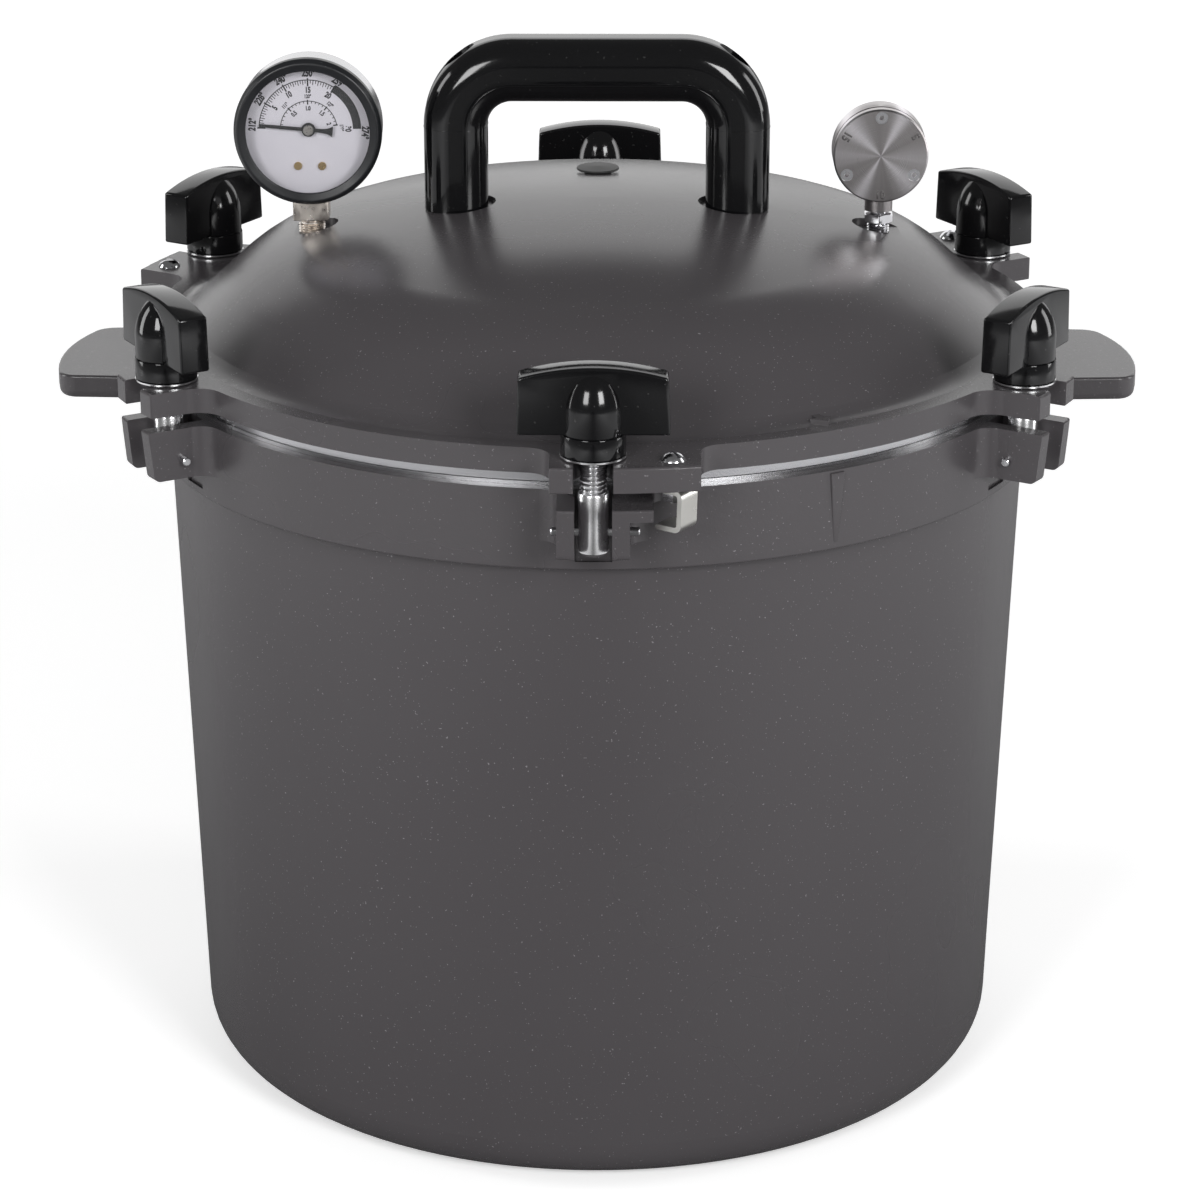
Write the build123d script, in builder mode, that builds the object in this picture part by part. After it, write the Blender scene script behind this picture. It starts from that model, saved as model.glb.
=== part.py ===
"""Stove-top pressure canner: cast pot and lid, six swing-bolt clamps, gauge, weight and plug.

Millimetres, +Z up. The origin is the centre of the base. -Y is the front, with one clamp on it,
and the side handles point along +X and -X. Every clamp is modelled at angle 0, on the +X axis
(X outwards, Y along the rim), and then turned to its place about Z.
"""
from build123d import *
from math import acos, atan2, cos, degrees, pi, radians, sin, sqrt, tan
import os

# ---------------------------------------------------------------- driving dimensions
BOLT_CIRCLE = 177.0          # radius on which the six swing bolts stand
CLAMP_COUNT = 6
FRONT_ANGLE = -90.0          # the front clamp stands on the -Y axis

BASE_RADIUS = 154.1          # pot body, outside, at the base
BODY_TOP_RADIUS = 162.0      # pot body, outside, just under the rim band
MOUTH_RADIUS = 155.6         # inside of the pot at its mouth: a 12 1/4 inch pot
FLOOR_INSIDE_RADIUS = 148.0
FLOOR_THICKNESS = 8.0
BASE_CORNER = 18.0
INSIDE_CORNER = 12.0
FOOT_RING_RADIUS = 118.0     # inside of the ring that the pot stands on
FOOT_RECESS = 1.0

BAND_BOTTOM = 245.0
BAND_RADIUS = 167.5
POT_TOP = 274.0              # top of the rim band and of the pot's lugs
RING_RADIUS = 163.4          # bare sealing ring, outside
RING_INSIDE = 158.6
RING_TOP = 275.3
SEAL_BOTTOM = 270.0          # where the pot's sealing cone meets the wall

LID_BOTTOM = 280.0           # underside of the lid's flange and lugs
LID_TOP = 289.0              # top of the flange: the wing nuts sit here
LID_RADIUS = 168.6
SEAL_GAP = 0.3               # between the two castings at the seal
SPIGOT_BOTTOM = 269.0
SPIGOT_RADIUS = 155.1
SPIGOT_INSIDE = 150.5

CROWN_HEIGHT = 45.0          # top of the dome above the flange
CROWN_EDGE = (105.0, 34.0)   # radius and height where the crown meets the shoulder
SHOULDER_END = (139.0, 16.5)
DOME_FOOT = 157.0
DOME_WALL = 7.0

LUG_FACE = BOLT_CIRCLE + 13.5
LUG_HALF_WIDTH = 14.8
HOOK_SIDE = 36.2             # the lugs that carry a hook reach this far along the rim
BOLT_SLOT = 13.6
EAR_BOTTOM = 255.4
EAR_INNER = 6.4              # half of the slot between the pot's two ears
EAR_OUTER = 12.4
LEDGE_END = 20.3
LEDGE_BOTTOM = 269.7
PIN_HEIGHT = 262.4
PIN_RADIUS = 1.6
RUNNING_GAP = 0.05

BARREL_RADIUS = 5.3
THREAD_RADIUS = 4.75         # 3/8 inch bolt, 16 threads to the inch
BOLT_BELOW_PIN = 8.0
BARREL_TOP = 277.0
BOLT_ABOVE_LUG = 28.5

WASHER_RADIUS = 11.25
WASHER_SEAT = 8.9            # flat part of the underside
WASHER_THICKNESS = 1.2
NUT_COLLAR_RADIUS = 11.1
NUT_COLLAR_TOP = 9.0         # above the lug
WING_LENGTH = 51.9
WING_TIP_LENGTH = 50.2       # the wing narrows a little towards its top
WING_THICKNESS = 11.0
WING_SIDE_TOP = 28.6
NUT_TOP = 32.4
NUT_HUB_RADIUS = 10.8
NUT_HUB_SHOULDER = 17.5      # the hub narrows to its arched end above this
INSERT_RADIUS = 6.8
INSERT_TOP = 25.0

HANDLE_LEG = 52.5            # half the distance between the top handle's legs
HANDLE_WIDTH = 23.7
HANDLE_DEPTH = 25.0
HANDLE_TOP = 106.0           # above the flange
HANDLE_FOOT = 41.6           # above the flange: the spot faces the legs stand on
HANDLE_BEND = 21.0
SCREW_WELL_X = 51.0
SCREW_WELL_RADIUS = 5.5
SCREW_SEAT = 68.0            # above the flange

GAUGE_X = -107.0
GAUGE_HEIGHT = 72.0          # of the dial's centre, above the flange
GAUGE_CASE_RADIUS = 27.0
BEZEL_RADIUS = 27.5
WINDOW_RADIUS = 23.0
WEIGHT_X = 105.5
WEIGHT_HEIGHT = 62.5
WEIGHT_RADIUS = 17.65
WEIGHT_THICKNESS = 15.0
FITTING_SEAT = 32.0          # above the flange: spot faces for the gauge and the vent pipe
FITTING_SEAT_RADIUS = 9.8
PLUG_Y = 50.0
PLUG_RADIUS = 8.2

GEAR_MODULE = 0.3
PINION_TEETH = 12
SECTOR_TEETH = 72            # of a whole wheel of the sector's size

RACK_RADIUS = 135.0
RACK_TOP = 22.0
RACK_THICKNESS = 1.8

CLAMP_NAMES = ("front", "front_right", "rear_right", "rear", "rear_left", "front_left")
CLAMP_ANGLES = [FRONT_ANGLE + i * 360.0 / CLAMP_COUNT for i in range(CLAMP_COUNT)]
HOOK_ANGLES = CLAMP_ANGLES[::2]
PLAIN_ANGLES = CLAMP_ANGLES[1::2]

os.makedirs("parts", exist_ok=True)


def save(piece, name):
    """Label a finished piece and write its STEP file."""
    piece.label = name
    export_step(piece, f"parts/{name}.step")


def crown_height(radius):
    """Height above the flange of the dome's crown, at a radius."""
    drop = CROWN_HEIGHT - CROWN_EDGE[1]
    sphere = (CROWN_EDGE[0] ** 2 + drop ** 2) / (2 * drop)
    return CROWN_HEIGHT - sphere + sqrt(sphere ** 2 - radius ** 2)


def turned(angle):
    """Location that turns a piece from angle 0 to its place round the rim."""
    return Location((0, 0, 0), (0, 0, angle))


# ---------------------------------------------------------------- pot
# The body and rim band are turned; the sealing ring stands up inside the band.
with BuildPart() as pot:
    with BuildSketch(Plane.XZ):
        with BuildLine():
            FilletPolyline(
                (0, FOOT_RECESS),
                (FOOT_RING_RADIUS, FOOT_RECESS),
                (FOOT_RING_RADIUS + 1.5, 0),
                (BASE_RADIUS, 0),
                (BODY_TOP_RADIUS, BAND_BOTTOM),
                (BAND_RADIUS, BAND_BOTTOM),
                (BAND_RADIUS, POT_TOP),
                (RING_RADIUS, POT_TOP),
                (RING_RADIUS, RING_TOP),
                (RING_INSIDE, RING_TOP),
                (MOUTH_RADIUS, SEAL_BOTTOM),
                (FLOOR_INSIDE_RADIUS, FLOOR_THICKNESS),
                (0, FLOOR_THICKNESS),
                radius=(0, 0.5, BASE_CORNER, 1.5, 0.8, 0.6, 0, 0, 0, 0, INSIDE_CORNER),
            )
            Line((0, FLOOR_THICKNESS), (0, FOOT_RECESS))
        make_face()
    revolve(axis=Axis.Z)

# The lugs: blocks that sweep into the band, with a ledge beside the ones under a hook.
with BuildPart() as pot_lugs:
    with BuildSketch(Plane.XY.offset(EAR_BOTTOM)):
        Circle(BAND_RADIUS)
        with PolarLocations(0, CLAMP_COUNT, FRONT_ANGLE):
            with Locations((LUG_FACE / 2, 0)):
                Rectangle(LUG_FACE, 2 * EAR_OUTER)
        band_corners = vertices().filter_by(lambda v: abs(Vector(v.X, v.Y).length - BAND_RADIUS) < 0.01)
        fillet(band_corners, 7.0)
        face_corners = vertices().filter_by(lambda v: Vector(v.X, v.Y).length > LUG_FACE)
        fillet(face_corners, 1.5)
        Circle(MOUTH_RADIUS + 3, mode=Mode.SUBTRACT)
    extrude(amount=POT_TOP - EAR_BOTTOM)
    with BuildSketch(Plane.XY.offset(LEDGE_BOTTOM)):
        Circle(BAND_RADIUS)
        for hook_angle in HOOK_ANGLES:
            with Locations(turned(hook_angle)):
                with Locations((LUG_FACE / 2, LEDGE_END / 2)):
                    Rectangle(LUG_FACE, LEDGE_END)
        ledge_corners = vertices().filter_by(lambda v: abs(Vector(v.X, v.Y).length - BAND_RADIUS) < 0.01)
        fillet(ledge_corners, 4.0)
        ledge_faces = vertices().filter_by(lambda v: Vector(v.X, v.Y).length > LUG_FACE + 0.2)
        fillet(ledge_faces, 1.5)
        Circle(MOUTH_RADIUS + 3, mode=Mode.SUBTRACT)
    extrude(amount=POT_TOP - LEDGE_BOTTOM)
    # The outer faces lean in towards a rounded lower edge.
    with BuildSketch(Plane.XZ):
        with BuildLine():
            FilletPolyline(
                (0, EAR_BOTTOM),
                (LUG_FACE - 1.8, EAR_BOTTOM),
                (LUG_FACE, POT_TOP),
                (0, POT_TOP),
                radius=(2.5, 0.8),
            )
            Line((0, POT_TOP), (0, EAR_BOTTOM))
        make_face()
    revolve(axis=Axis.Z, mode=Mode.INTERSECT)

# One side handle: a flat plate with a curved end and rounded edges.
HANDLE_PLATE_TOP = 273.6
HANDLE_PLATE_THICKNESS = 9.0
HANDLE_PLATE_HALF = 32.5
with BuildPart() as side_handle:
    with BuildSketch(Plane.XY.offset(HANDLE_PLATE_TOP - HANDLE_PLATE_THICKNESS)):
        with BuildLine():
            Polyline(
                (192.0, HANDLE_PLATE_HALF),
                (MOUTH_RADIUS + 4, HANDLE_PLATE_HALF + 2),
                (MOUTH_RADIUS + 4, -HANDLE_PLATE_HALF - 2),
                (199.5, -HANDLE_PLATE_HALF),
            )
            ThreePointArc((199.5, -HANDLE_PLATE_HALF), (202.6, -4), (192.0, HANDLE_PLATE_HALF))
        make_face()
        fillet(vertices().group_by(Axis.X)[-1], 7.0)
        fillet(vertices().filter_by(lambda v: v.Y > 30 and v.X > 180), 9.0)
    extrude(amount=HANDLE_PLATE_THICKNESS)
    fillet(faces().sort_by(Axis.Z)[0].edges().filter_by(lambda e: e.center().X > 165), 3.0)
    fillet(faces().sort_by(Axis.Z)[-1].edges().filter_by(lambda e: e.center().X > 165), 1.0)

with BuildPart() as pot_body:
    add(pot.part)
    add(pot_lugs.part)
    add(side_handle.part)
    mirror(side_handle.part, about=Plane.YZ)
    # Clear the inside again, then cut the slots and the pin holes.
    with BuildSketch(Plane.XZ):
        with BuildLine():
            Polyline(
                (0, 200), (MOUTH_RADIUS - 2, 200), (MOUTH_RADIUS, SEAL_BOTTOM),
                (RING_INSIDE, RING_TOP), (0, RING_TOP), (0, 200),
            )
        make_face()
    revolve(axis=Axis.Z, mode=Mode.SUBTRACT)
    for clamp_angle in CLAMP_ANGLES:
        with Locations(turned(clamp_angle)):
            with Locations((BOLT_CIRCLE + 10.5, 0, (BAND_BOTTOM + POT_TOP) / 2 + 3)):
                Box(42.2, 2 * EAR_INNER, POT_TOP - BAND_BOTTOM, mode=Mode.SUBTRACT)
            with Locations(Location((BOLT_CIRCLE, 0, PIN_HEIGHT), (90, 0, 0))):
                Cylinder(PIN_RADIUS + 0.01, 60, mode=Mode.SUBTRACT)
save(pot_body.part, "pot_body")

# ---------------------------------------------------------------- hinge pins
PIN_SHORT_END = 14.6
PIN_LONG_END = 15.8
with BuildPart() as hinge_pins:
    for clamp_angle in CLAMP_ANGLES:
        with Locations(turned(clamp_angle)):
            pin_middle = (BOLT_CIRCLE, (PIN_LONG_END - PIN_SHORT_END) / 2, PIN_HEIGHT)
            with Locations(Location(pin_middle, (90, 0, 0))):
                Cylinder(PIN_RADIUS, PIN_SHORT_END + PIN_LONG_END)
    chamfer(edges().filter_by(GeomType.CIRCLE), 0.4)
save(hinge_pins.part, "hinge_pins")

# ---------------------------------------------------------------- canning rack
# A spun aluminium plate with a turned-down rim and rings of holes, on the pot's floor.
HOLE_RINGS = ((32.0, 6), (62.0, 12), (92.0, 18), (119.0, 24))
with BuildPart() as canning_rack:
    with BuildSketch(Plane.XZ):
        with BuildLine():
            FilletPolyline(
                (0, RACK_TOP), (RACK_RADIUS, RACK_TOP), (RACK_RADIUS, FLOOR_THICKNESS + 0.5),
                radius=4.0,
            )
            Line((RACK_RADIUS, FLOOR_THICKNESS + 0.5), (RACK_RADIUS - RACK_THICKNESS, FLOOR_THICKNESS + 0.5))
            FilletPolyline(
                (RACK_RADIUS - RACK_THICKNESS, FLOOR_THICKNESS + 0.5),
                (RACK_RADIUS - RACK_THICKNESS, RACK_TOP - RACK_THICKNESS),
                (0, RACK_TOP - RACK_THICKNESS),
                radius=4.0 - RACK_THICKNESS,
            )
            Line((0, RACK_TOP - RACK_THICKNESS), (0, RACK_TOP))
        make_face()
    revolve(axis=Axis.Z)
    with Locations((0, 0, RACK_TOP)):
        Hole(9.0, depth=3 * RACK_THICKNESS)
        for ring_radius, ring_count in HOLE_RINGS:
            with PolarLocations(ring_radius, ring_count):
                Hole(6.5, depth=3 * RACK_THICKNESS)
save(canning_rack.part, "canning_rack")

# ---------------------------------------------------------------- lid
# Shell of the lid: flange, dome and the spigot with its sealing cone.
with BuildPart() as lid_shell:
    with BuildSketch(Plane.XZ):
        with BuildLine() as lid_outside:
            rim_edge = Polyline(
                (SPIGOT_INSIDE, SPIGOT_BOTTOM),
                (SPIGOT_RADIUS, SPIGOT_BOTTOM),
                (SPIGOT_RADIUS, SEAL_BOTTOM + SEAL_GAP),
                (RING_INSIDE - 0.4, RING_TOP + SEAL_GAP),
                (RING_RADIUS, RING_TOP + SEAL_GAP),
                (RING_RADIUS, LID_BOTTOM),
                (LID_RADIUS, LID_BOTTOM),
                (LID_RADIUS, LID_TOP),
                (DOME_FOOT, LID_TOP),
                (SHOULDER_END[0], LID_TOP + SHOULDER_END[1]),
            )
            shoulder = ThreePointArc(
                (SHOULDER_END[0], LID_TOP + SHOULDER_END[1]),
                (124.4, LID_TOP + 27.4),
                (CROWN_EDGE[0], LID_TOP + CROWN_EDGE[1]),
            )
            crown = ThreePointArc(
                (CROWN_EDGE[0], LID_TOP + CROWN_EDGE[1]),
                (54.0, LID_TOP + crown_height(54.0)),
                (0, LID_TOP + CROWN_HEIGHT),
            )
            Line((0, LID_TOP + CROWN_HEIGHT), (0, LID_TOP + CROWN_HEIGHT - DOME_WALL))
            inner_crown = ThreePointArc(
                (0, LID_TOP + CROWN_HEIGHT - DOME_WALL),
                (54.0, LID_TOP + crown_height(54.0) - DOME_WALL),
                (CROWN_EDGE[0] - 1.5, LID_TOP + CROWN_EDGE[1] - DOME_WALL),
            )
            inner_shoulder = ThreePointArc(
                (CROWN_EDGE[0] - 1.5, LID_TOP + CROWN_EDGE[1] - DOME_WALL),
                (121.0, LID_TOP + 21.0),
                (134.5, LID_TOP + 10.5),
            )
            FilletPolyline(
                (134.5, LID_TOP + 10.5), (147.5, LID_TOP - 1.5), (SPIGOT_INSIDE, SPIGOT_BOTTOM),
                radius=8.0,
            )
        make_face()
        fillet(vertices().sort_by_distance((DOME_FOOT, LID_TOP, 0))[0], 12.0)
        fillet(vertices().sort_by_distance((LID_RADIUS, LID_TOP, 0))[0], 0.8)
    revolve(axis=Axis.Z)

# The six lugs, three of them wide enough for a hook, sweeping into the flange.
with BuildPart() as lid_lugs:
    with BuildSketch(Plane.XY.offset(LID_BOTTOM)):
        Circle(LID_RADIUS)
        for clamp_angle in PLAIN_ANGLES:
            with Locations(turned(clamp_angle)):
                with Locations((LUG_FACE / 2, 0)):
                    Rectangle(LUG_FACE, 2 * LUG_HALF_WIDTH)
        for clamp_angle in HOOK_ANGLES:
            with Locations(turned(clamp_angle)):
                with Locations((LUG_FACE / 2, (HOOK_SIDE - LUG_HALF_WIDTH) / 2)):
                    Rectangle(LUG_FACE, HOOK_SIDE + LUG_HALF_WIDTH)
        fillet(vertices().filter_by(lambda v: abs(Vector(v.X, v.Y).length - LID_RADIUS) < 0.01), 9.0)
        fillet(vertices().filter_by(lambda v: Vector(v.X, v.Y).length > LUG_FACE), 1.5)
        Circle(DOME_FOOT + 4, mode=Mode.SUBTRACT)
    extrude(amount=LID_TOP - LID_BOTTOM)
    with BuildSketch(Plane.XZ):
        with BuildLine():
            FilletPolyline(
                (0, LID_BOTTOM), (LUG_FACE, LID_BOTTOM), (LUG_FACE, LID_TOP), (0, LID_TOP),
                radius=(0.5, 0.9),
            )
            Line((0, LID_TOP), (0, LID_BOTTOM))
        make_face()
    revolve(axis=Axis.Z, mode=Mode.INTERSECT)

HANDLE_SPOT_RADIUS = 14.6
HANDLE_BOSS_RADIUS = 11.0
HANDLE_BOSS_MIDDLE = 33.5     # above the flange, as are the next two
SCREW_HOLE_MIDDLE = 38.0
FITTING_BOSS_MIDDLE = 25.0
HANDLE_SCREW_RADIUS = 2.5
SOCKET_THREAD_RADIUS = 5.0
VENT_THREAD_RADIUS = 4.2
FITTING_BOSS_RADIUS = 9.0
PLUG_NECK_RADIUS = 5.5
HOOK_SCREW = (180.0, 26.8)   # outwards and along the rim
HOOK_SCREW_RADIUS = 2.0
ARROW_ANGLE = -60.5
ARROW_RADIUS = 159.2
ARROW_TOP = 1.9              # above the flange
with BuildPart() as lid:
    add(lid_shell.part)
    add(lid_lugs.part)
    # Bosses under the dome for the threaded holes.
    with Locations(*[(x, 0, LID_TOP + HANDLE_BOSS_MIDDLE) for x in (-HANDLE_LEG, HANDLE_LEG)]):
        Cylinder(HANDLE_BOSS_RADIUS, 12.0)
    with Locations(*[(x, 0, LID_TOP + FITTING_BOSS_MIDDLE) for x in (GAUGE_X, WEIGHT_X)]):
        Cylinder(FITTING_BOSS_RADIUS, 10.0)
    # Spot faces and holes.
    with Locations((-HANDLE_LEG, 0, LID_TOP + HANDLE_FOOT + 5), (HANDLE_LEG, 0, LID_TOP + HANDLE_FOOT + 5)):
        Cylinder(HANDLE_SPOT_RADIUS, 10.0, mode=Mode.SUBTRACT)
    with Locations((GAUGE_X, 0, LID_TOP + FITTING_SEAT + 5), (WEIGHT_X, 0, LID_TOP + FITTING_SEAT + 5)):
        Cylinder(FITTING_SEAT_RADIUS, 10.0, mode=Mode.SUBTRACT)
    with Locations(*[(x, 0, LID_TOP + SCREW_HOLE_MIDDLE) for x in (-SCREW_WELL_X, SCREW_WELL_X)]):
        Cylinder(HANDLE_SCREW_RADIUS + RUNNING_GAP, 30.0, mode=Mode.SUBTRACT)
    with Locations((GAUGE_X, 0, LID_TOP + FITTING_BOSS_MIDDLE)):
        Cylinder(SOCKET_THREAD_RADIUS + RUNNING_GAP, 30.0, mode=Mode.SUBTRACT)
    with Locations((WEIGHT_X, 0, LID_TOP + FITTING_BOSS_MIDDLE)):
        Cylinder(VENT_THREAD_RADIUS + RUNNING_GAP, 30.0, mode=Mode.SUBTRACT)
    with Locations((0, PLUG_Y, LID_TOP + 40)):
        Cylinder(PLUG_NECK_RADIUS, 30.0, mode=Mode.SUBTRACT)
    # Open slots for the swing bolts, and the hooks' screw holes.
    for clamp_angle in CLAMP_ANGLES:
        with Locations(turned(clamp_angle)):
            with Locations((BOLT_CIRCLE, 0, LID_TOP)):
                Cylinder(BOLT_SLOT / 2, 40.0, mode=Mode.SUBTRACT)
            with Locations((BOLT_CIRCLE + 10, 0, LID_TOP)):
                Box(20.0, BOLT_SLOT, 40.0, mode=Mode.SUBTRACT)
    for clamp_angle in HOOK_ANGLES:
        with Locations(turned(clamp_angle)):
            with Locations((*HOOK_SCREW, LID_TOP)):
                Cylinder(HOOK_SCREW_RADIUS + RUNNING_GAP, 40.0, mode=Mode.SUBTRACT)
    # Cast arrow on the flange, which points outwards.
    with BuildSketch(Plane.XY.offset(LID_TOP - 0.2)):
        with Locations(turned(ARROW_ANGLE)):
            with Locations((ARROW_RADIUS, 0)):
                Polygon((4.8, 0), (-0.4, 4.2), (-0.4, 1.6), (-5.0, 1.6), (-5.0, -1.6),
                        (-0.4, -1.6), (-0.4, -4.2), align=None)
    extrude(amount=ARROW_TOP + 0.2)
save(lid.part, "lid")

# ---------------------------------------------------------------- top handle and its screws
HANDLE_CORNER = 9.5
with BuildPart() as top_handle:
    with BuildLine(Plane.XZ.offset(0)) as handle_line:
        FilletPolyline(
            (-HANDLE_LEG, LID_TOP + HANDLE_FOOT),
            (-HANDLE_LEG, LID_TOP + HANDLE_TOP - HANDLE_WIDTH / 2),
            (HANDLE_LEG, LID_TOP + HANDLE_TOP - HANDLE_WIDTH / 2),
            (HANDLE_LEG, LID_TOP + HANDLE_FOOT),
            radius=HANDLE_BEND,
        )
    with BuildSketch(Plane.XY.offset(LID_TOP + HANDLE_FOOT)):
        with Locations((-HANDLE_LEG, 0)):
            RectangleRounded(HANDLE_WIDTH, HANDLE_DEPTH, HANDLE_CORNER)
    sweep()
    # Deep wells for the screw heads, which break out through the bends, and the clearance holes.
    with Locations((-SCREW_WELL_X, 0, LID_TOP + HANDLE_TOP), (SCREW_WELL_X, 0, LID_TOP + HANDLE_TOP)):
        Cylinder(SCREW_WELL_RADIUS, 2 * (HANDLE_TOP - SCREW_SEAT), mode=Mode.SUBTRACT)
    with Locations((-SCREW_WELL_X, 0, LID_TOP + SCREW_SEAT), (SCREW_WELL_X, 0, LID_TOP + SCREW_SEAT)):
        Cylinder(HANDLE_SCREW_RADIUS + 0.3, 80.0, mode=Mode.SUBTRACT)
save(top_handle.part, "top_handle")

SCREW_HEAD_RADIUS = 4.7
SCREW_HEAD_HEIGHT = 3.2
SCREW_TIP = 29.0             # above the flange
with BuildPart() as handle_screws:
    with BuildSketch(Plane.XZ):
        with BuildLine():
            Polyline(
                (0, LID_TOP + SCREW_TIP),
                (HANDLE_SCREW_RADIUS, LID_TOP + SCREW_TIP),
                (HANDLE_SCREW_RADIUS, LID_TOP + SCREW_SEAT),
                (SCREW_HEAD_RADIUS, LID_TOP + SCREW_SEAT),
                (SCREW_HEAD_RADIUS, LID_TOP + SCREW_SEAT + SCREW_HEAD_HEIGHT),
                (0, LID_TOP + SCREW_SEAT + SCREW_HEAD_HEIGHT),
                (0, LID_TOP + SCREW_TIP),
            )
        make_face()
        fillet(vertices().group_by(Axis.Y)[-1].sort_by(Axis.X)[-1], 1.2)
    revolve(axis=Axis.Z)
    with Locations((0, 0, LID_TOP + SCREW_SEAT + SCREW_HEAD_HEIGHT)):
        Box(2.5 * SCREW_HEAD_RADIUS, 1.2, 2.4, mode=Mode.SUBTRACT)
handle_screw_pair = Compound(
    children=[handle_screws.part.moved(Location((x, 0, 0))) for x in (-SCREW_WELL_X, SCREW_WELL_X)]
)
save(handle_screw_pair, "handle_screws")

# ---------------------------------------------------------------- dial gauge
# The gauge is modelled about its own axis: local z runs towards the front (-Y), local y is up.
GAUGE_PLANE = Plane(
    origin=(GAUGE_X, 0, LID_TOP + GAUGE_HEIGHT), x_dir=(1, 0, 0), z_dir=(0, -1, 0)
)
CASE_BACK = -7.0
CASE_FRONT = 7.0
CASE_WALL = 0.8
BEZEL_FRONT = 12.5
LENS_BACK = 9.2
LENS_THICKNESS = 1.4
DIAL_RADIUS = 25.0
DIAL_FRONT = 5.0
DIAL_THICKNESS = 0.5
BLOCK_SIDE = 13.3
BLOCK_BOTTOM = 36.8          # above the flange
BLOCK_TOP = 46.0
STUB_TOP = 50.2              # the stub that the curved tube is soldered to
STUB_RADIUS = 3.6
SOCKET_BOTTOM = 14.0


def gauge_sketch(depth):
    """Plane parallel to the dial, at a distance in front of the gauge's middle."""
    return GAUGE_PLANE.offset(depth)


with BuildPart() as gauge_socket:
    with BuildSketch(Plane.XY.offset(LID_TOP + BLOCK_BOTTOM)):
        with Locations((GAUGE_X, 0)):
            Rectangle(BLOCK_SIDE, BLOCK_SIDE - 2.7)
    extrude(amount=BLOCK_TOP - BLOCK_BOTTOM)
    chamfer(faces().sort_by(Axis.Z)[0].edges(), 0.5)
    with Locations((GAUGE_X, 0, LID_TOP + (BLOCK_TOP + STUB_TOP) / 2)):
        Cylinder(STUB_RADIUS, STUB_TOP - BLOCK_TOP)
    with Locations((GAUGE_X, 0, LID_TOP + (SOCKET_BOTTOM + BLOCK_BOTTOM) / 2)):
        Cylinder(SOCKET_THREAD_RADIUS, BLOCK_BOTTOM - SOCKET_BOTTOM)
    with Locations((GAUGE_X, 0, LID_TOP + SOCKET_BOTTOM)):
        Cylinder(1.6, 60.0, mode=Mode.SUBTRACT)
save(gauge_socket.part, "gauge_socket")

with BuildPart() as gauge_case:
    with BuildSketch(gauge_sketch(CASE_BACK)):
        Circle(GAUGE_CASE_RADIUS)
    extrude(amount=CASE_FRONT - CASE_BACK)
    fillet(edges().filter_by(GeomType.CIRCLE).sort_by(Axis.Y)[-1], 2.0)
    with BuildSketch(gauge_sketch(CASE_BACK + CASE_WALL)):
        Circle(GAUGE_CASE_RADIUS - CASE_WALL)
    extrude(amount=CASE_FRONT - CASE_BACK, mode=Mode.SUBTRACT)
    with Locations((GAUGE_X, 0, LID_TOP + BLOCK_BOTTOM)):
        Box(BLOCK_SIDE + 0.1, BLOCK_SIDE - 2.6, 2 * (BLOCK_TOP + 0.5 - BLOCK_BOTTOM), mode=Mode.SUBTRACT)
save(gauge_case.part, "gauge_case")

with BuildPart() as gauge_bezel:
    with BuildSketch(Plane.XZ):
        with BuildLine():
            FilletPolyline(
                (WINDOW_RADIUS, LENS_BACK + LENS_THICKNESS),
                (WINDOW_RADIUS, BEZEL_FRONT - 0.8),
                (BEZEL_RADIUS - 1.4, BEZEL_FRONT),
                (BEZEL_RADIUS, BEZEL_FRONT - 2.2),
                (BEZEL_RADIUS, CASE_FRONT),
                (WINDOW_RADIUS + 2.4, CASE_FRONT),
                (WINDOW_RADIUS + 2.4, LENS_BACK + LENS_THICKNESS),
                radius=(0.5, 1.0, 1.0, 0.3, 0),
            )
            Line(
                (WINDOW_RADIUS + 2.4, LENS_BACK + LENS_THICKNESS),
                (WINDOW_RADIUS, LENS_BACK + LENS_THICKNESS),
            )
        make_face()
    revolve(axis=Axis.Z)
gauge_bezel_placed = gauge_bezel.part.moved(GAUGE_PLANE.location)
save(gauge_bezel_placed, "gauge_bezel")

with BuildPart() as gauge_lens:
    with BuildSketch(gauge_sketch(LENS_BACK)):
        Circle(WINDOW_RADIUS + 2.2)
    extrude(amount=LENS_THICKNESS)
save(gauge_lens.part, "gauge_lens")

DIAL_SCREWS = ((-4.3, -14.0), (4.7, -14.0))
DIAL_SCREW_HOLE = 0.9
with BuildPart() as gauge_dial:
    with BuildSketch(gauge_sketch(DIAL_FRONT - DIAL_THICKNESS)):
        Circle(DIAL_RADIUS)
        Circle(1.6, mode=Mode.SUBTRACT)
        with Locations(*DIAL_SCREWS):
            Circle(DIAL_SCREW_HOLE + 0.05, mode=Mode.SUBTRACT)
    extrude(amount=DIAL_THICKNESS)
save(gauge_dial.part, "gauge_dial")

with BuildPart() as dial_screws:
    with BuildSketch(gauge_sketch(DIAL_FRONT)):
        with Locations(*DIAL_SCREWS):
            Circle(1.5)
    extrude(amount=0.8)
    with BuildSketch(gauge_sketch(DIAL_FRONT)):
        with Locations(*DIAL_SCREWS):
            Circle(DIAL_SCREW_HOLE)
    extrude(amount=-3.0)
save(dial_screws.part, "dial_screws")

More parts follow.
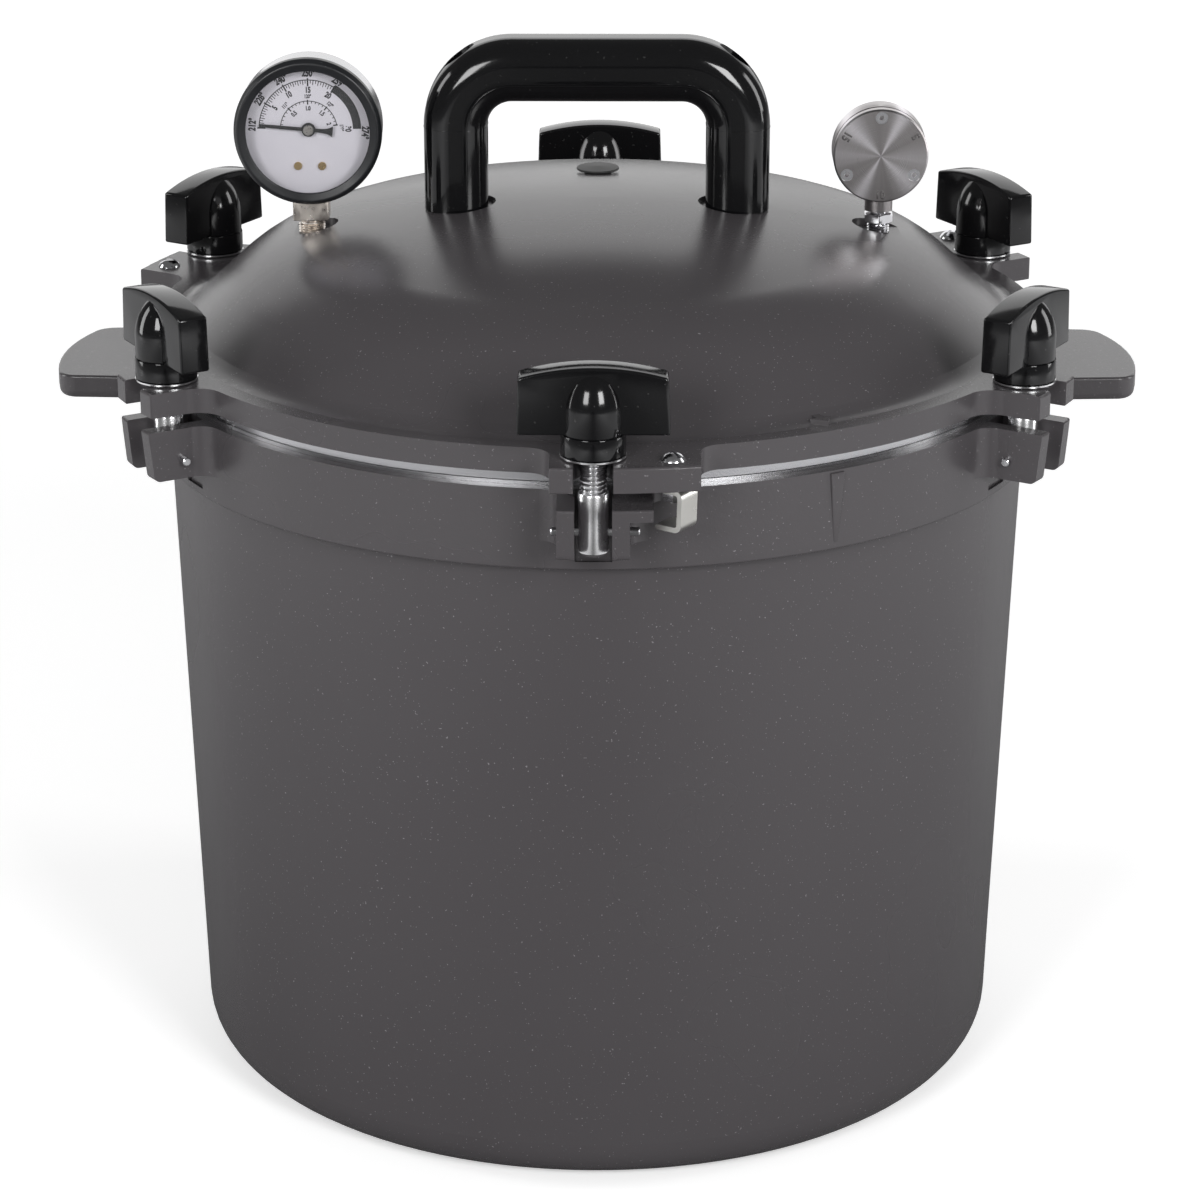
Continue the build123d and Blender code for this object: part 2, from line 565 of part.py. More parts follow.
# The movement: two plates on posts carry the arbor and the sector's pivot.
PITCH_PINION = GEAR_MODULE * PINION_TEETH / 2
PITCH_SECTOR = GEAR_MODULE * SECTOR_TEETH / 2
SECTOR_PIVOT = -(PITCH_PINION + PITCH_SECTOR)
GEAR_BACK = 0.4
GEAR_THICKNESS = 1.0
PLATE_FRONT = 3.6
PLATE_THICKNESS = 0.7
PLATE_BACK = -4.2
ARBOR_RADIUS = 0.6
POSTS = ((-4.0, 3.4), (4.0, 3.4), (0.0, -16.0))
with BuildPart() as movement_plates:
    for plate_depth in (PLATE_FRONT - PLATE_THICKNESS, PLATE_BACK):
        with BuildSketch(gauge_sketch(plate_depth)):
            with Locations((0, (3.4 - 15.6) / 2)):
                RectangleRounded(10.6, 21.6, 1.5)
            with Locations((0, 0), (0, SECTOR_PIVOT)):
                Circle(ARBOR_RADIUS + RUNNING_GAP, mode=Mode.SUBTRACT)
            with Locations(*DIAL_SCREWS):
                Circle(DIAL_SCREW_HOLE + 0.05, mode=Mode.SUBTRACT)
        extrude(amount=PLATE_THICKNESS)
    with BuildSketch(gauge_sketch(PLATE_BACK)):
        with Locations(*POSTS):
            Circle(0.9)
    extrude(amount=PLATE_FRONT - PLATE_BACK)
save(movement_plates.part, "movement_plates")

# Curved spring tube of flat section, from the socket round to a closed tip.
TUBE_RADIUS = 20.5
TUBE_START = -86.0
TUBE_TIP = 200.0
TUBE_SECTION = (2.4, 5.0)
with BuildPart() as bourdon_tube:
    with BuildLine(GAUGE_PLANE):
        tube_line = CenterArc((0, 0), TUBE_RADIUS, TUBE_START, TUBE_TIP - TUBE_START)
    with BuildSketch(Plane(origin=tube_line @ 0, x_dir=(0, 1, 0), z_dir=tube_line % 0)):
        RectangleRounded(TUBE_SECTION[1], TUBE_SECTION[0], 1.1)
    sweep()
save(bourdon_tube.part, "bourdon_tube")


def gear_outline(teeth, tooth_range, thinning=0.16):
    """Points of involute teeth about the origin; tooth 0 points along +X."""
    pitch = GEAR_MODULE * teeth / 2
    base = pitch * cos(radians(20))
    root = pitch - 1.25 * GEAR_MODULE
    tip = pitch + GEAR_MODULE
    involute = tan(radians(20)) - radians(20)
    points = []
    for tooth in tooth_range:
        centre = 2 * pi * tooth / teeth
        flank = []
        for step in range(5):
            radius = max(base, root) + (tip - max(base, root)) * step / 4
            pressure = acos(min(1.0, base / radius))
            half = pi / (2 * teeth) * (1 - thinning) + involute - (tan(pressure) - pressure)
            flank.append((radius, half))
        sides = flank if base < root else [(root, flank[0][1])] + flank
        points += [(r * cos(centre - h), r * sin(centre - h)) for r, h in sides]
        points += [(r * cos(centre + h), r * sin(centre + h)) for r, h in reversed(sides)]
    return points


SECTOR_TEETH_SHOWN = range(-5, 6)
TAIL_PIN = (-6.5, SECTOR_PIVOT - 1.0)
with BuildPart() as gauge_sector:
    with BuildSketch(Plane(origin=GAUGE_PLANE.location.position + Vector(0, -GEAR_BACK, SECTOR_PIVOT),
                           x_dir=(0, 0, 1), z_dir=(0, -1, 0))):
        with BuildLine():
            Polyline((0, 0), *gear_outline(SECTOR_TEETH, SECTOR_TEETH_SHOWN), (0, 0))
        make_face()
        Circle(2.0)
    extrude(amount=GEAR_THICKNESS)
    with BuildSketch(gauge_sketch(GEAR_BACK)):
        with Locations((TAIL_PIN[0] / 2, (TAIL_PIN[1] + SECTOR_PIVOT) / 2)):
            SlotCenterToCenter(abs(TAIL_PIN[0]), 2.4, rotation=degrees(atan2(1.0, 6.5)))
        with Locations(TAIL_PIN):
            Circle(0.55, mode=Mode.SUBTRACT)
    extrude(amount=GEAR_THICKNESS)
    with BuildSketch(gauge_sketch(PLATE_BACK)):
        with Locations((0, SECTOR_PIVOT)):
            Circle(ARBOR_RADIUS)
    extrude(amount=PLATE_FRONT - PLATE_BACK)
save(gauge_sector.part, "gauge_sector")

LINK_TOP = (-12.5, -8.5)
with BuildPart() as gauge_link:
    link_length = sqrt((LINK_TOP[0] - TAIL_PIN[0]) ** 2 + (LINK_TOP[1] - TAIL_PIN[1]) ** 2)
    link_angle = degrees(atan2(LINK_TOP[1] - TAIL_PIN[1], LINK_TOP[0] - TAIL_PIN[0]))
    with BuildSketch(gauge_sketch(GEAR_BACK + GEAR_THICKNESS + 0.1)):
        with Locations(((LINK_TOP[0] + TAIL_PIN[0]) / 2, (LINK_TOP[1] + TAIL_PIN[1]) / 2)):
            SlotCenterToCenter(link_length, 2.0, rotation=link_angle)
    extrude(amount=0.6)
    with BuildSketch(gauge_sketch(GEAR_BACK + GEAR_THICKNESS + 0.1)):
        with Locations(TAIL_PIN):
            Circle(0.5)
    extrude(amount=-GEAR_THICKNESS - 0.3)
save(gauge_link.part, "gauge_link")

# Arbor with its pinion, half a tooth round so that it meshes with the sector's middle tooth.
with BuildPart() as pointer_arbor:
    with BuildSketch(Plane(origin=GAUGE_PLANE.location.position + Vector(0, -GEAR_BACK, 0),
                           x_dir=(sin(pi / PINION_TEETH), 0, -cos(pi / PINION_TEETH)), z_dir=(0, -1, 0))):
        with BuildLine():
            outline = gear_outline(PINION_TEETH, range(PINION_TEETH))
            Polyline(*outline, outline[0])
        make_face()
    extrude(amount=GEAR_THICKNESS)
    with BuildSketch(gauge_sketch(PLATE_BACK)):
        Circle(ARBOR_RADIUS)
    extrude(amount=7.0 - PLATE_BACK)
save(pointer_arbor.part, "pointer_arbor")

POINTER_TILT = 175.0         # the pointer rests just above the zero line, on the left
POINTER_LENGTH = 18.2
POINTER_HALF = 0.55          # half the blade's width
POINTER_WAIST = (-4.6, 0.7)
POINTER_TAIL = (-9.0, 2.1)
POINTER_BACK = 6.3           # in front of the gauge's middle
POINTER_HUB_RADIUS = 2.6
with BuildPart() as gauge_pointer:
    with BuildSketch(gauge_sketch(POINTER_BACK)):
        with BuildLine():
            Line((POINTER_LENGTH, -POINTER_HALF), (POINTER_LENGTH, POINTER_HALF))
            Line((POINTER_LENGTH, POINTER_HALF), (POINTER_WAIST[0], POINTER_WAIST[1]))
            Spline(POINTER_WAIST, POINTER_TAIL, tangents=[(-1, 0), (-1, 0.8)])
            Line(POINTER_TAIL, (POINTER_TAIL[0], -POINTER_TAIL[1]))
            Spline((POINTER_TAIL[0], -POINTER_TAIL[1]), (POINTER_WAIST[0], -POINTER_WAIST[1]),
                   tangents=[(1, 0.8), (1, 0)])
            Line((POINTER_WAIST[0], -POINTER_WAIST[1]), (POINTER_LENGTH, -POINTER_HALF))
        make_face()
        Circle(POINTER_HUB_RADIUS)
    extrude(amount=0.5)
    with BuildSketch(gauge_sketch(POINTER_BACK)):
        Circle(1.9)
    extrude(amount=1.4)
    with BuildSketch(gauge_sketch(POINTER_BACK - 0.1)):
        Circle(ARBOR_RADIUS)
    extrude(amount=0.8, mode=Mode.SUBTRACT)
gauge_pointer_placed = gauge_pointer.part.rotate(
    Axis((GAUGE_X, 0, LID_TOP + GAUGE_HEIGHT), (0, -1, 0)), POINTER_TILT
)
save(gauge_pointer_placed, "gauge_pointer")

# ---------------------------------------------------------------- vent pipe, weight and plug
VENT_HEX = 10.4
VENT_HEX_BOTTOM = 36.0
VENT_HEX_TOP = 39.4
VENT_TOP = 58.0
VENT_STEM_RADIUS = 3.2
WEIGHT_BORE_RADIUS = 3.5
with BuildPart() as vent_pipe:
    with Locations((WEIGHT_X, 0, LID_TOP + (SOCKET_BOTTOM + VENT_HEX_BOTTOM) / 2)):
        Cylinder(VENT_THREAD_RADIUS, VENT_HEX_BOTTOM - SOCKET_BOTTOM)
    with BuildSketch(Plane.XY.offset(LID_TOP + VENT_HEX_BOTTOM)):
        with Locations((WEIGHT_X, 0)):
            RegularPolygon(VENT_HEX / 2, 6, major_radius=False)
    extrude(amount=VENT_HEX_TOP - VENT_HEX_BOTTOM)
    with Locations((WEIGHT_X, 0, LID_TOP + (VENT_HEX_TOP + VENT_TOP) / 2)):
        Cylinder(VENT_STEM_RADIUS, VENT_TOP - VENT_HEX_TOP)
    chamfer(edges().filter_by(GeomType.CIRCLE).sort_by(Axis.Z)[-1], 0.8)
    with Locations((WEIGHT_X, 0, LID_TOP + 36)):
        Cylinder(1.3, 60.0, mode=Mode.SUBTRACT)
save(vent_pipe.part, "vent_pipe")

WEIGHT_PLANE = Plane(
    origin=(WEIGHT_X, 0, LID_TOP + WEIGHT_HEIGHT), x_dir=(1, 0, 0), z_dir=(0, -1, 0)
)
WEIGHT_SLEEVE_RADIUS = 5.2
WEIGHT_SLEEVE_BOTTOM = 40.4
PLUG_CIRCLE = 14.4
PLUG_PIN_RADIUS = 2.3
with BuildPart() as regulator_weight:
    with BuildSketch(WEIGHT_PLANE.offset(-WEIGHT_THICKNESS / 2)):
        Circle(WEIGHT_RADIUS)
    extrude(amount=WEIGHT_THICKNESS)
    chamfer(edges().filter_by(GeomType.CIRCLE), 0.6)
    # Shallow groove round the rim.
    with BuildSketch(WEIGHT_PLANE.offset(2.0)):
        Circle(WEIGHT_RADIUS + 1)
        Circle(WEIGHT_RADIUS - 0.8, mode=Mode.SUBTRACT)
    extrude(amount=1.6, mode=Mode.SUBTRACT)
    with Locations((WEIGHT_X, 0, LID_TOP + (WEIGHT_SLEEVE_BOTTOM + WEIGHT_HEIGHT) / 2)):
        Cylinder(WEIGHT_SLEEVE_RADIUS, WEIGHT_HEIGHT - WEIGHT_SLEEVE_BOTTOM)
    with Locations((WEIGHT_X, 0, LID_TOP + (WEIGHT_SLEEVE_BOTTOM + VENT_TOP) / 2)):
        Cylinder(WEIGHT_BORE_RADIUS, VENT_TOP - WEIGHT_SLEEVE_BOTTOM + 0.4, mode=Mode.SUBTRACT)
    with BuildSketch(WEIGHT_PLANE.offset(WEIGHT_THICKNESS / 2)):
        with PolarLocations(PLUG_CIRCLE, 3, 90):
            Circle(PLUG_PIN_RADIUS + 0.02)
    extrude(amount=-3.0, mode=Mode.SUBTRACT)
save(regulator_weight.part, "regulator_weight")

with BuildPart() as weight_plugs:
    with BuildSketch(WEIGHT_PLANE.offset(WEIGHT_THICKNESS / 2 - 3.0)):
        with PolarLocations(PLUG_CIRCLE, 3, 90):
            Circle(PLUG_PIN_RADIUS)
            Circle(0.9, mode=Mode.SUBTRACT)
    extrude(amount=2.6)
save(weight_plugs.part, "weight_plugs")

# Rubber plug: a rounded head on the dome, a neck through the lid and a retaining bulge below.
PLUG_HEAD_BOTTOM = LID_TOP + crown_height(PLUG_Y - PLUG_RADIUS) + 0.2
PLUG_HEAD_EDGE = 0.8         # the head is a thin flat disc, slightly domed
PLUG_HEAD_RISE = 1.3
with BuildPart() as overpressure_plug:
    with BuildSketch(Plane.XZ):
        with BuildLine():
            FilletPolyline(
                (0, PLUG_HEAD_BOTTOM + PLUG_HEAD_RISE),
                (PLUG_RADIUS, PLUG_HEAD_BOTTOM + PLUG_HEAD_EDGE),
                (PLUG_RADIUS, PLUG_HEAD_BOTTOM),
                (PLUG_NECK_RADIUS - 0.3, PLUG_HEAD_BOTTOM),
                (PLUG_NECK_RADIUS - 0.3, PLUG_HEAD_BOTTOM - 13.0),
                (0, PLUG_HEAD_BOTTOM - 13.0),
                radius=(0.35, 0.3, 0.3, 0.8),
            )
            Line((0, PLUG_HEAD_BOTTOM - 13.0), (0, PLUG_HEAD_BOTTOM + PLUG_HEAD_RISE))
        make_face()
    revolve(axis=Axis.Z)
save(overpressure_plug.part.moved(Location((0, PLUG_Y, 0))), "overpressure_plug")

# ---------------------------------------------------------------- hooks, their screws and nuts
# A hook is a strip bent twice: a tab under the lug, a drop, and a foot turned back.
HOOK_STRIP = 1.8
HOOK_WIDTH = 9.5
HOOK_FOOT_BOTTOM = 265.0
HOOK_LEG_OFFSET = 6.0
HOOK_FOOT_LENGTH = 9.0
HOOK_TURN = -55.0            # the foot points back along the rim and a little inwards
with BuildPart() as hook:
    with BuildSketch(Plane.XZ):
        with BuildLine():
            hook_line = FilletPolyline(
                (-HOOK_LEG_OFFSET, LID_BOTTOM - HOOK_STRIP / 2),
                (HOOK_LEG_OFFSET, LID_BOTTOM - HOOK_STRIP / 2),
                (HOOK_LEG_OFFSET - 0.4, HOOK_FOOT_BOTTOM + HOOK_STRIP / 2),
                (HOOK_LEG_OFFSET - HOOK_FOOT_LENGTH, HOOK_FOOT_BOTTOM + HOOK_STRIP / 2),
                radius=2.0,
            )
            offset(amount=HOOK_STRIP / 2, side=Side.BOTH)
        make_face()
    extrude(amount=HOOK_WIDTH / 2, both=True)
    with Locations((0, 0, LID_BOTTOM)):
        Cylinder(HOOK_SCREW_RADIUS + RUNNING_GAP, 8.0, mode=Mode.SUBTRACT)
HOOK_PLACES = [turned(a) * Location((*HOOK_SCREW, 0)) for a in HOOK_ANGLES]
HOOK_TURNED = Location((0, 0, 0), (0, 0, 90.0 + HOOK_TURN / 2 - 7.5))
lid_hooks = Compound(children=[hook.part.moved(place * HOOK_TURNED) for place in HOOK_PLACES])
save(lid_hooks, "lid_hooks")

HOOK_HEAD_RADIUS = 4.35
HOOK_HEAD_HEIGHT = 2.6
HOOK_NUT_BOTTOM = LID_BOTTOM - HOOK_STRIP - 3.2
with BuildPart() as hook_screw:
    with BuildSketch(Plane.XZ):
        with BuildLine():
            Polyline(
                (HOOK_HEAD_RADIUS, LID_TOP),
                (HOOK_SCREW_RADIUS, LID_TOP),
                (HOOK_SCREW_RADIUS, HOOK_NUT_BOTTOM - 0.8),
                (0, HOOK_NUT_BOTTOM - 0.8),
                (0, LID_TOP + HOOK_HEAD_HEIGHT),
            )
            ThreePointArc(
                (0, LID_TOP + HOOK_HEAD_HEIGHT),
                (HOOK_HEAD_RADIUS * 0.68, LID_TOP + HOOK_HEAD_HEIGHT * 0.72),
                (HOOK_HEAD_RADIUS, LID_TOP),
            )
        make_face()
    revolve(axis=Axis.Z)
    with Locations((0, 0, LID_TOP + HOOK_HEAD_HEIGHT)):
        Box(3 * HOOK_HEAD_RADIUS, 1.1, 2.4, rotation=(0, 0, 35), mode=Mode.SUBTRACT)
hook_screws = Compound(children=[hook_screw.part.moved(place) for place in HOOK_PLACES])
save(hook_screws, "hook_screws")

with BuildPart() as hook_nut:
    with BuildSketch(Plane.XY.offset(HOOK_NUT_BOTTOM)):
        RegularPolygon(3.5, 6, major_radius=False)
        Circle(HOOK_SCREW_RADIUS + RUNNING_GAP, mode=Mode.SUBTRACT)
    extrude(amount=3.2)
hook_nuts = Compound(children=[hook_nut.part.moved(place) for place in HOOK_PLACES])
save(hook_nuts, "hook_nuts")

# ---------------------------------------------------------------- clamps, modelled at angle 0
with BuildPart() as swing_bolt:
    with BuildSketch(Plane.XZ):
        with BuildLine():
            Polyline(
                (0, PIN_HEIGHT - BOLT_BELOW_PIN),
                (BARREL_RADIUS - 1.05, PIN_HEIGHT - BOLT_BELOW_PIN),
                (BARREL_RADIUS, PIN_HEIGHT - BOLT_BELOW_PIN + 1.05),
                (BARREL_RADIUS, BARREL_TOP - 0.5),
                (THREAD_RADIUS, BARREL_TOP),
                (THREAD_RADIUS, LID_TOP + BOLT_ABOVE_LUG - 1.0),
                (THREAD_RADIUS - 1.0, LID_TOP + BOLT_ABOVE_LUG),
                (0, LID_TOP + BOLT_ABOVE_LUG),
                (0, PIN_HEIGHT - BOLT_BELOW_PIN),
            )
        make_face()
    revolve(axis=Axis.Z)
    with Locations(Location((0, 0, PIN_HEIGHT), (90, 0, 0))):
        Cylinder(PIN_RADIUS + RUNNING_GAP, 20.0, mode=Mode.SUBTRACT)

with BuildPart() as seat_washer:
    with BuildSketch(Plane.XZ):
        with BuildLine():
            Polyline(
                (THREAD_RADIUS + 0.15, LID_TOP),
                (WASHER_SEAT, LID_TOP),
                (WASHER_RADIUS, LID_TOP + 0.6),
                (WASHER_RADIUS, LID_TOP + WASHER_THICKNESS),
                (THREAD_RADIUS + 0.15, LID_TOP + WASHER_THICKNESS),
                (THREAD_RADIUS + 0.15, LID_TOP),
            )
        make_face()
    revolve(axis=Axis.Z)

INSERT_BOTTOM = WASHER_THICKNESS + 0.15
with BuildPart() as nut_insert:
    with BuildSketch(Plane.XY.offset(LID_TOP + INSERT_BOTTOM)):
        Circle(INSERT_RADIUS)
        Circle(THREAD_RADIUS + RUNNING_GAP, mode=Mode.SUBTRACT)
    extrude(amount=INSERT_TOP - INSERT_BOTTOM)

# The wing nut: a flat wing with an arched top, a round hub and a collar below it.
NUT_HUB_WAIST = (8.7, LID_TOP + 25.5)
NUT_HUB_TOP = LID_TOP + NUT_TOP - 0.9
with BuildPart() as wing_nut:
    with BuildSketch(Plane.YZ):
        with BuildLine():
            Polyline(
                (-WING_TIP_LENGTH / 2, LID_TOP + WING_SIDE_TOP),
                (-WING_LENGTH / 2, LID_TOP + NUT_COLLAR_TOP),
                (WING_LENGTH / 2, LID_TOP + NUT_COLLAR_TOP),
                (WING_TIP_LENGTH / 2, LID_TOP + WING_SIDE_TOP),
            )
            ThreePointArc(
                (-WING_TIP_LENGTH / 2, LID_TOP + WING_SIDE_TOP),
                (0, LID_TOP + NUT_TOP),
                (WING_TIP_LENGTH / 2, LID_TOP + WING_SIDE_TOP),
            )
        make_face()
    extrude(amount=WING_THICKNESS / 2, both=True)
    fillet(edges().filter_by(Axis.Z, 5), 1.2)
    with BuildSketch(Plane.XZ):
        with BuildLine():
            Polyline(
                (0, LID_TOP + INSERT_BOTTOM),
                (NUT_COLLAR_RADIUS, LID_TOP + INSERT_BOTTOM),
                (NUT_COLLAR_RADIUS, LID_TOP + NUT_COLLAR_TOP - 0.4),
                (NUT_HUB_RADIUS, LID_TOP + NUT_COLLAR_TOP),
                (NUT_HUB_RADIUS, LID_TOP + NUT_HUB_SHOULDER),
            )
            Spline(
                (NUT_HUB_RADIUS, LID_TOP + NUT_HUB_SHOULDER),
                NUT_HUB_WAIST,
                (0, NUT_HUB_TOP),
                tangents=[(0, 1), (-1, 0.25)],
            )
            Line((0, NUT_HUB_TOP), (0, LID_TOP + INSERT_BOTTOM))
        make_face()
    revolve(axis=Axis.Z)
    with Locations((0, 0, LID_TOP + (INSERT_BOTTOM + INSERT_TOP) / 2)):
        Cylinder(INSERT_RADIUS + RUNNING_GAP, INSERT_TOP - INSERT_BOTTOM + 0.3, mode=Mode.SUBTRACT)
    with Locations((0, 0, LID_TOP + (INSERT_TOP + BOLT_ABOVE_LUG) / 2)):
        Cylinder(THREAD_RADIUS + 0.3, BOLT_ABOVE_LUG - INSERT_TOP + 1.0, mode=Mode.SUBTRACT)

for clamp_name, clamp_angle in zip(CLAMP_NAMES, CLAMP_ANGLES):
    clamp_place = turned(clamp_angle) * Location((BOLT_CIRCLE, 0, 0))
    save(swing_bolt.part.moved(clamp_place), f"swing_bolt_{clamp_name}")
    save(seat_washer.part.moved(clamp_place), f"seat_washer_{clamp_name}")
    save(nut_insert.part.moved(clamp_place), f"nut_insert_{clamp_name}")
    save(wing_nut.part.moved(clamp_place), f"wing_nut_{clamp_name}")
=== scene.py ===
"""The pressure canner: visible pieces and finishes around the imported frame. Metres, +Z up."""
import bmesh
import bpy
from math import cos, pi, radians, sin
from mathutils import Matrix, Vector


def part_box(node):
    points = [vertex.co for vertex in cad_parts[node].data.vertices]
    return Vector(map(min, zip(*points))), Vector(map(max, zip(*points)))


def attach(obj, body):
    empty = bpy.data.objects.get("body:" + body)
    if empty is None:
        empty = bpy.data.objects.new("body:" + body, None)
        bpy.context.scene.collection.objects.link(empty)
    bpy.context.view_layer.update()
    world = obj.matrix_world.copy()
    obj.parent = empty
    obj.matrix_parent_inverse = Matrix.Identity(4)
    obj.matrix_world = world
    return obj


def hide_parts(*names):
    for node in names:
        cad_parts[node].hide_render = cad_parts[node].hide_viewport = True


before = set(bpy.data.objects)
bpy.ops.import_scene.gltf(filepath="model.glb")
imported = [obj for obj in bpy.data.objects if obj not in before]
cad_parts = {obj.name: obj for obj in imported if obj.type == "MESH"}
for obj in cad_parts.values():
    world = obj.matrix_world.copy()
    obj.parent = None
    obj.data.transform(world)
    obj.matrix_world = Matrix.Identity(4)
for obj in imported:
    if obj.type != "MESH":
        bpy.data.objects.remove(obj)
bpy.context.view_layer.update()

# ---------------------------------------------------------------- pot
# A heavy sand casting in aluminium: a tapered shell with a thick rim band, six pairs of ears and
# two plate handles. It is shot-blasted and coated satin charcoal; the seal and inside are bare.
MM = 0.001
CHARCOAL = (0.062, 0.057, 0.061)
CHARCOAL_PALE = (0.071, 0.066, 0.070)
CAST_SPECK = (0.19, 0.18, 0.19)
BARE_METAL = (0.62, 0.62, 0.64)
SEAL_TOP = 279.95 * MM          # bare metal on both castings lies between these heights
SEAL_LOW = 274.02 * MM
SEAL_EDGE = 163.65 * MM
POT_FLOOR = 7.8 * MM
INSIDE_EDGE = 150.4 * MM        # just outside the pot's inner wall at its floor
INSIDE_FLARE = 0.029            # how far the wall opens for each unit of height
BAND_LOW = 245.5 * MM
BAND_TOP = 274.2 * MM
BAND_EDGE = 166.0 * MM
LUG_EDGE = 192.5 * MM


def shader(name, colour, roughness, metallic=0.0, **others):
    """A material with one Principled shader; others sets its further sockets by name."""
    material = bpy.data.materials.new(name)
    material.use_nodes = True
    principled = material.node_tree.nodes["Principled BSDF"]
    principled.inputs["Base Color"].default_value = (*colour[:3], 1.0)
    principled.inputs["Roughness"].default_value = roughness
    principled.inputs["Metallic"].default_value = metallic
    for socket, value in others.items():
        principled.inputs[socket.replace("_", " ")].default_value = value
    return material


def finish_with(piece, material):
    """Gives a piece, or a CAD node, one material."""
    if not piece.material_slots:
        piece.data.materials.append(material)
    for material_slot in piece.material_slots:
        material_slot.material = material


def new_group(name, inputs, outputs):
    """An empty shader node group with named number inputs; returns it with its two end nodes."""
    group = bpy.data.node_groups.new(name, "ShaderNodeTree")
    for label, value in inputs:
        made = group.interface.new_socket(name=label, in_out="INPUT", socket_type="NodeSocketFloat")
        made.default_value = value
    for label in outputs:
        group.interface.new_socket(name=label, in_out="OUTPUT", socket_type="NodeSocketFloat")
    return group, group.nodes.new("NodeGroupInput"), group.nodes.new("NodeGroupOutput")


def feed(tree, source, target):
    """Sets a socket to a number or a colour, or links another socket to it."""
    if isinstance(source, tuple):
        target.default_value = (*source[:3], 1.0)
    elif isinstance(source, (int, float)):
        target.default_value = source
    else:
        tree.links.new(source, target)


def sums(tree, operation, first, second=0.0, clamp=False):
    """A Math node on sockets or plain numbers; returns its output socket."""
    node = tree.nodes.new("ShaderNodeMath")
    node.operation = operation
    node.use_clamp = clamp
    feed(tree, first, node.inputs[0])
    feed(tree, second, node.inputs[1])
    return node.outputs[0]


def noise(tree, where, scale, detail=2.0, roughness=0.5):
    """A Noise texture on a vector; returns its value socket."""
    node = tree.nodes.new("ShaderNodeTexNoise")
    node.inputs["Detail"].default_value = detail
    node.inputs["Roughness"].default_value = roughness
    tree.links.new(where, node.inputs["Vector"])
    feed(tree, scale, node.inputs["Scale"])
    return node.outputs[0]


def remap(tree, value, low, high, first, second):
    """Runs from a first number to a second while a socket goes from low to high."""
    node = tree.nodes.new("ShaderNodeMapRange")
    feed(tree, value, node.inputs["Value"])
    for label, number in (("From Min", low), ("From Max", high), ("To Min", first), ("To Max", second)):
        node.inputs[label].default_value = number
    return node.outputs[0]


def mix_colour(tree, factor, first, second):
    """Mixes two colours, each a socket or a tuple; returns the result socket."""
    node = tree.nodes.new("ShaderNodeMix")
    node.data_type = "RGBA"
    colour_inputs = [socket for socket in node.inputs if socket.type == "RGBA"]
    feed(tree, factor, node.inputs[0])
    feed(tree, first, colour_inputs[0])
    feed(tree, second, colour_inputs[1])
    return [socket for socket in node.outputs if socket.type == "RGBA"][0]


def bump(material, height, strength, distance):
    """Feeds a height to the shader's normal."""
    tree = material.node_tree
    node = tree.nodes.new("ShaderNodeBump")
    node.inputs["Strength"].default_value = strength
    node.inputs["Distance"].default_value = distance
    tree.links.new(height, node.inputs["Height"])
    tree.links.new(node.outputs[0], tree.nodes["Principled BSDF"].inputs["Normal"])


# Grain: fine and coarse relief, a slow drift of tone and a sparse scatter of specks.
grain, grain_in, grain_out = new_group(
    "grain",
    [("Fine", 1800.0), ("Coarse", 300.0), ("Coarse Share", 0.3), ("Drift", 9.0), ("Speck Size", 900.0)],
    ["Height", "Tone", "Specks"],
)
grain_where = grain.nodes.new("ShaderNodeTexCoord").outputs["Object"]
fine_relief = noise(grain, grain_where, grain_in.outputs["Fine"], 1.0)
coarse_relief = noise(grain, grain_where, grain_in.outputs["Coarse"], 3.0, 0.6)
coarse_relief = sums(grain, "MULTIPLY", coarse_relief, grain_in.outputs["Coarse Share"])
grain.links.new(sums(grain, "ADD", fine_relief, coarse_relief), grain_out.inputs["Height"])
grain.links.new(noise(grain, grain_where, grain_in.outputs["Drift"], 3.0), grain_out.inputs["Tone"])
scatter = noise(grain, grain_where, grain_in.outputs["Speck Size"], 0.0)
grain.links.new(remap(grain, scatter, 0.80, 0.84, 0.0, 1.0), grain_out.inputs["Specks"])

# Between: 1 where a value lies between two limits, with soft ends.
between, between_in, between_out = new_group(
    "between", [("Value", 0.0), ("Low", 0.0), ("High", 1.0), ("Softness", 0.0002)], ["Mask"]
)
above = sums(between, "SUBTRACT", between_in.outputs["Value"], between_in.outputs["Low"])
above = sums(between, "DIVIDE", above, between_in.outputs["Softness"], clamp=True)
below = sums(between, "SUBTRACT", between_in.outputs["High"], between_in.outputs["Value"])
below = sums(between, "DIVIDE", below, between_in.outputs["Softness"], clamp=True)
between.links.new(sums(between, "MULTIPLY", above, below), between_out.inputs["Mask"])


def use_group(tree, group, **values):
    """Places a node group in a material, with sockets or numbers for its inputs."""
    node = tree.nodes.new("ShaderNodeGroup")
    node.node_tree = group
    for label, value in values.items():
        feed(tree, value, node.inputs[label.replace("_", " ")])
    return node


def band_mask(tree, value, low, high, softness):
    """The mask socket of a Between group."""
    return use_group(tree, between, Value=value, Low=low, High=high, Softness=softness).outputs[0]


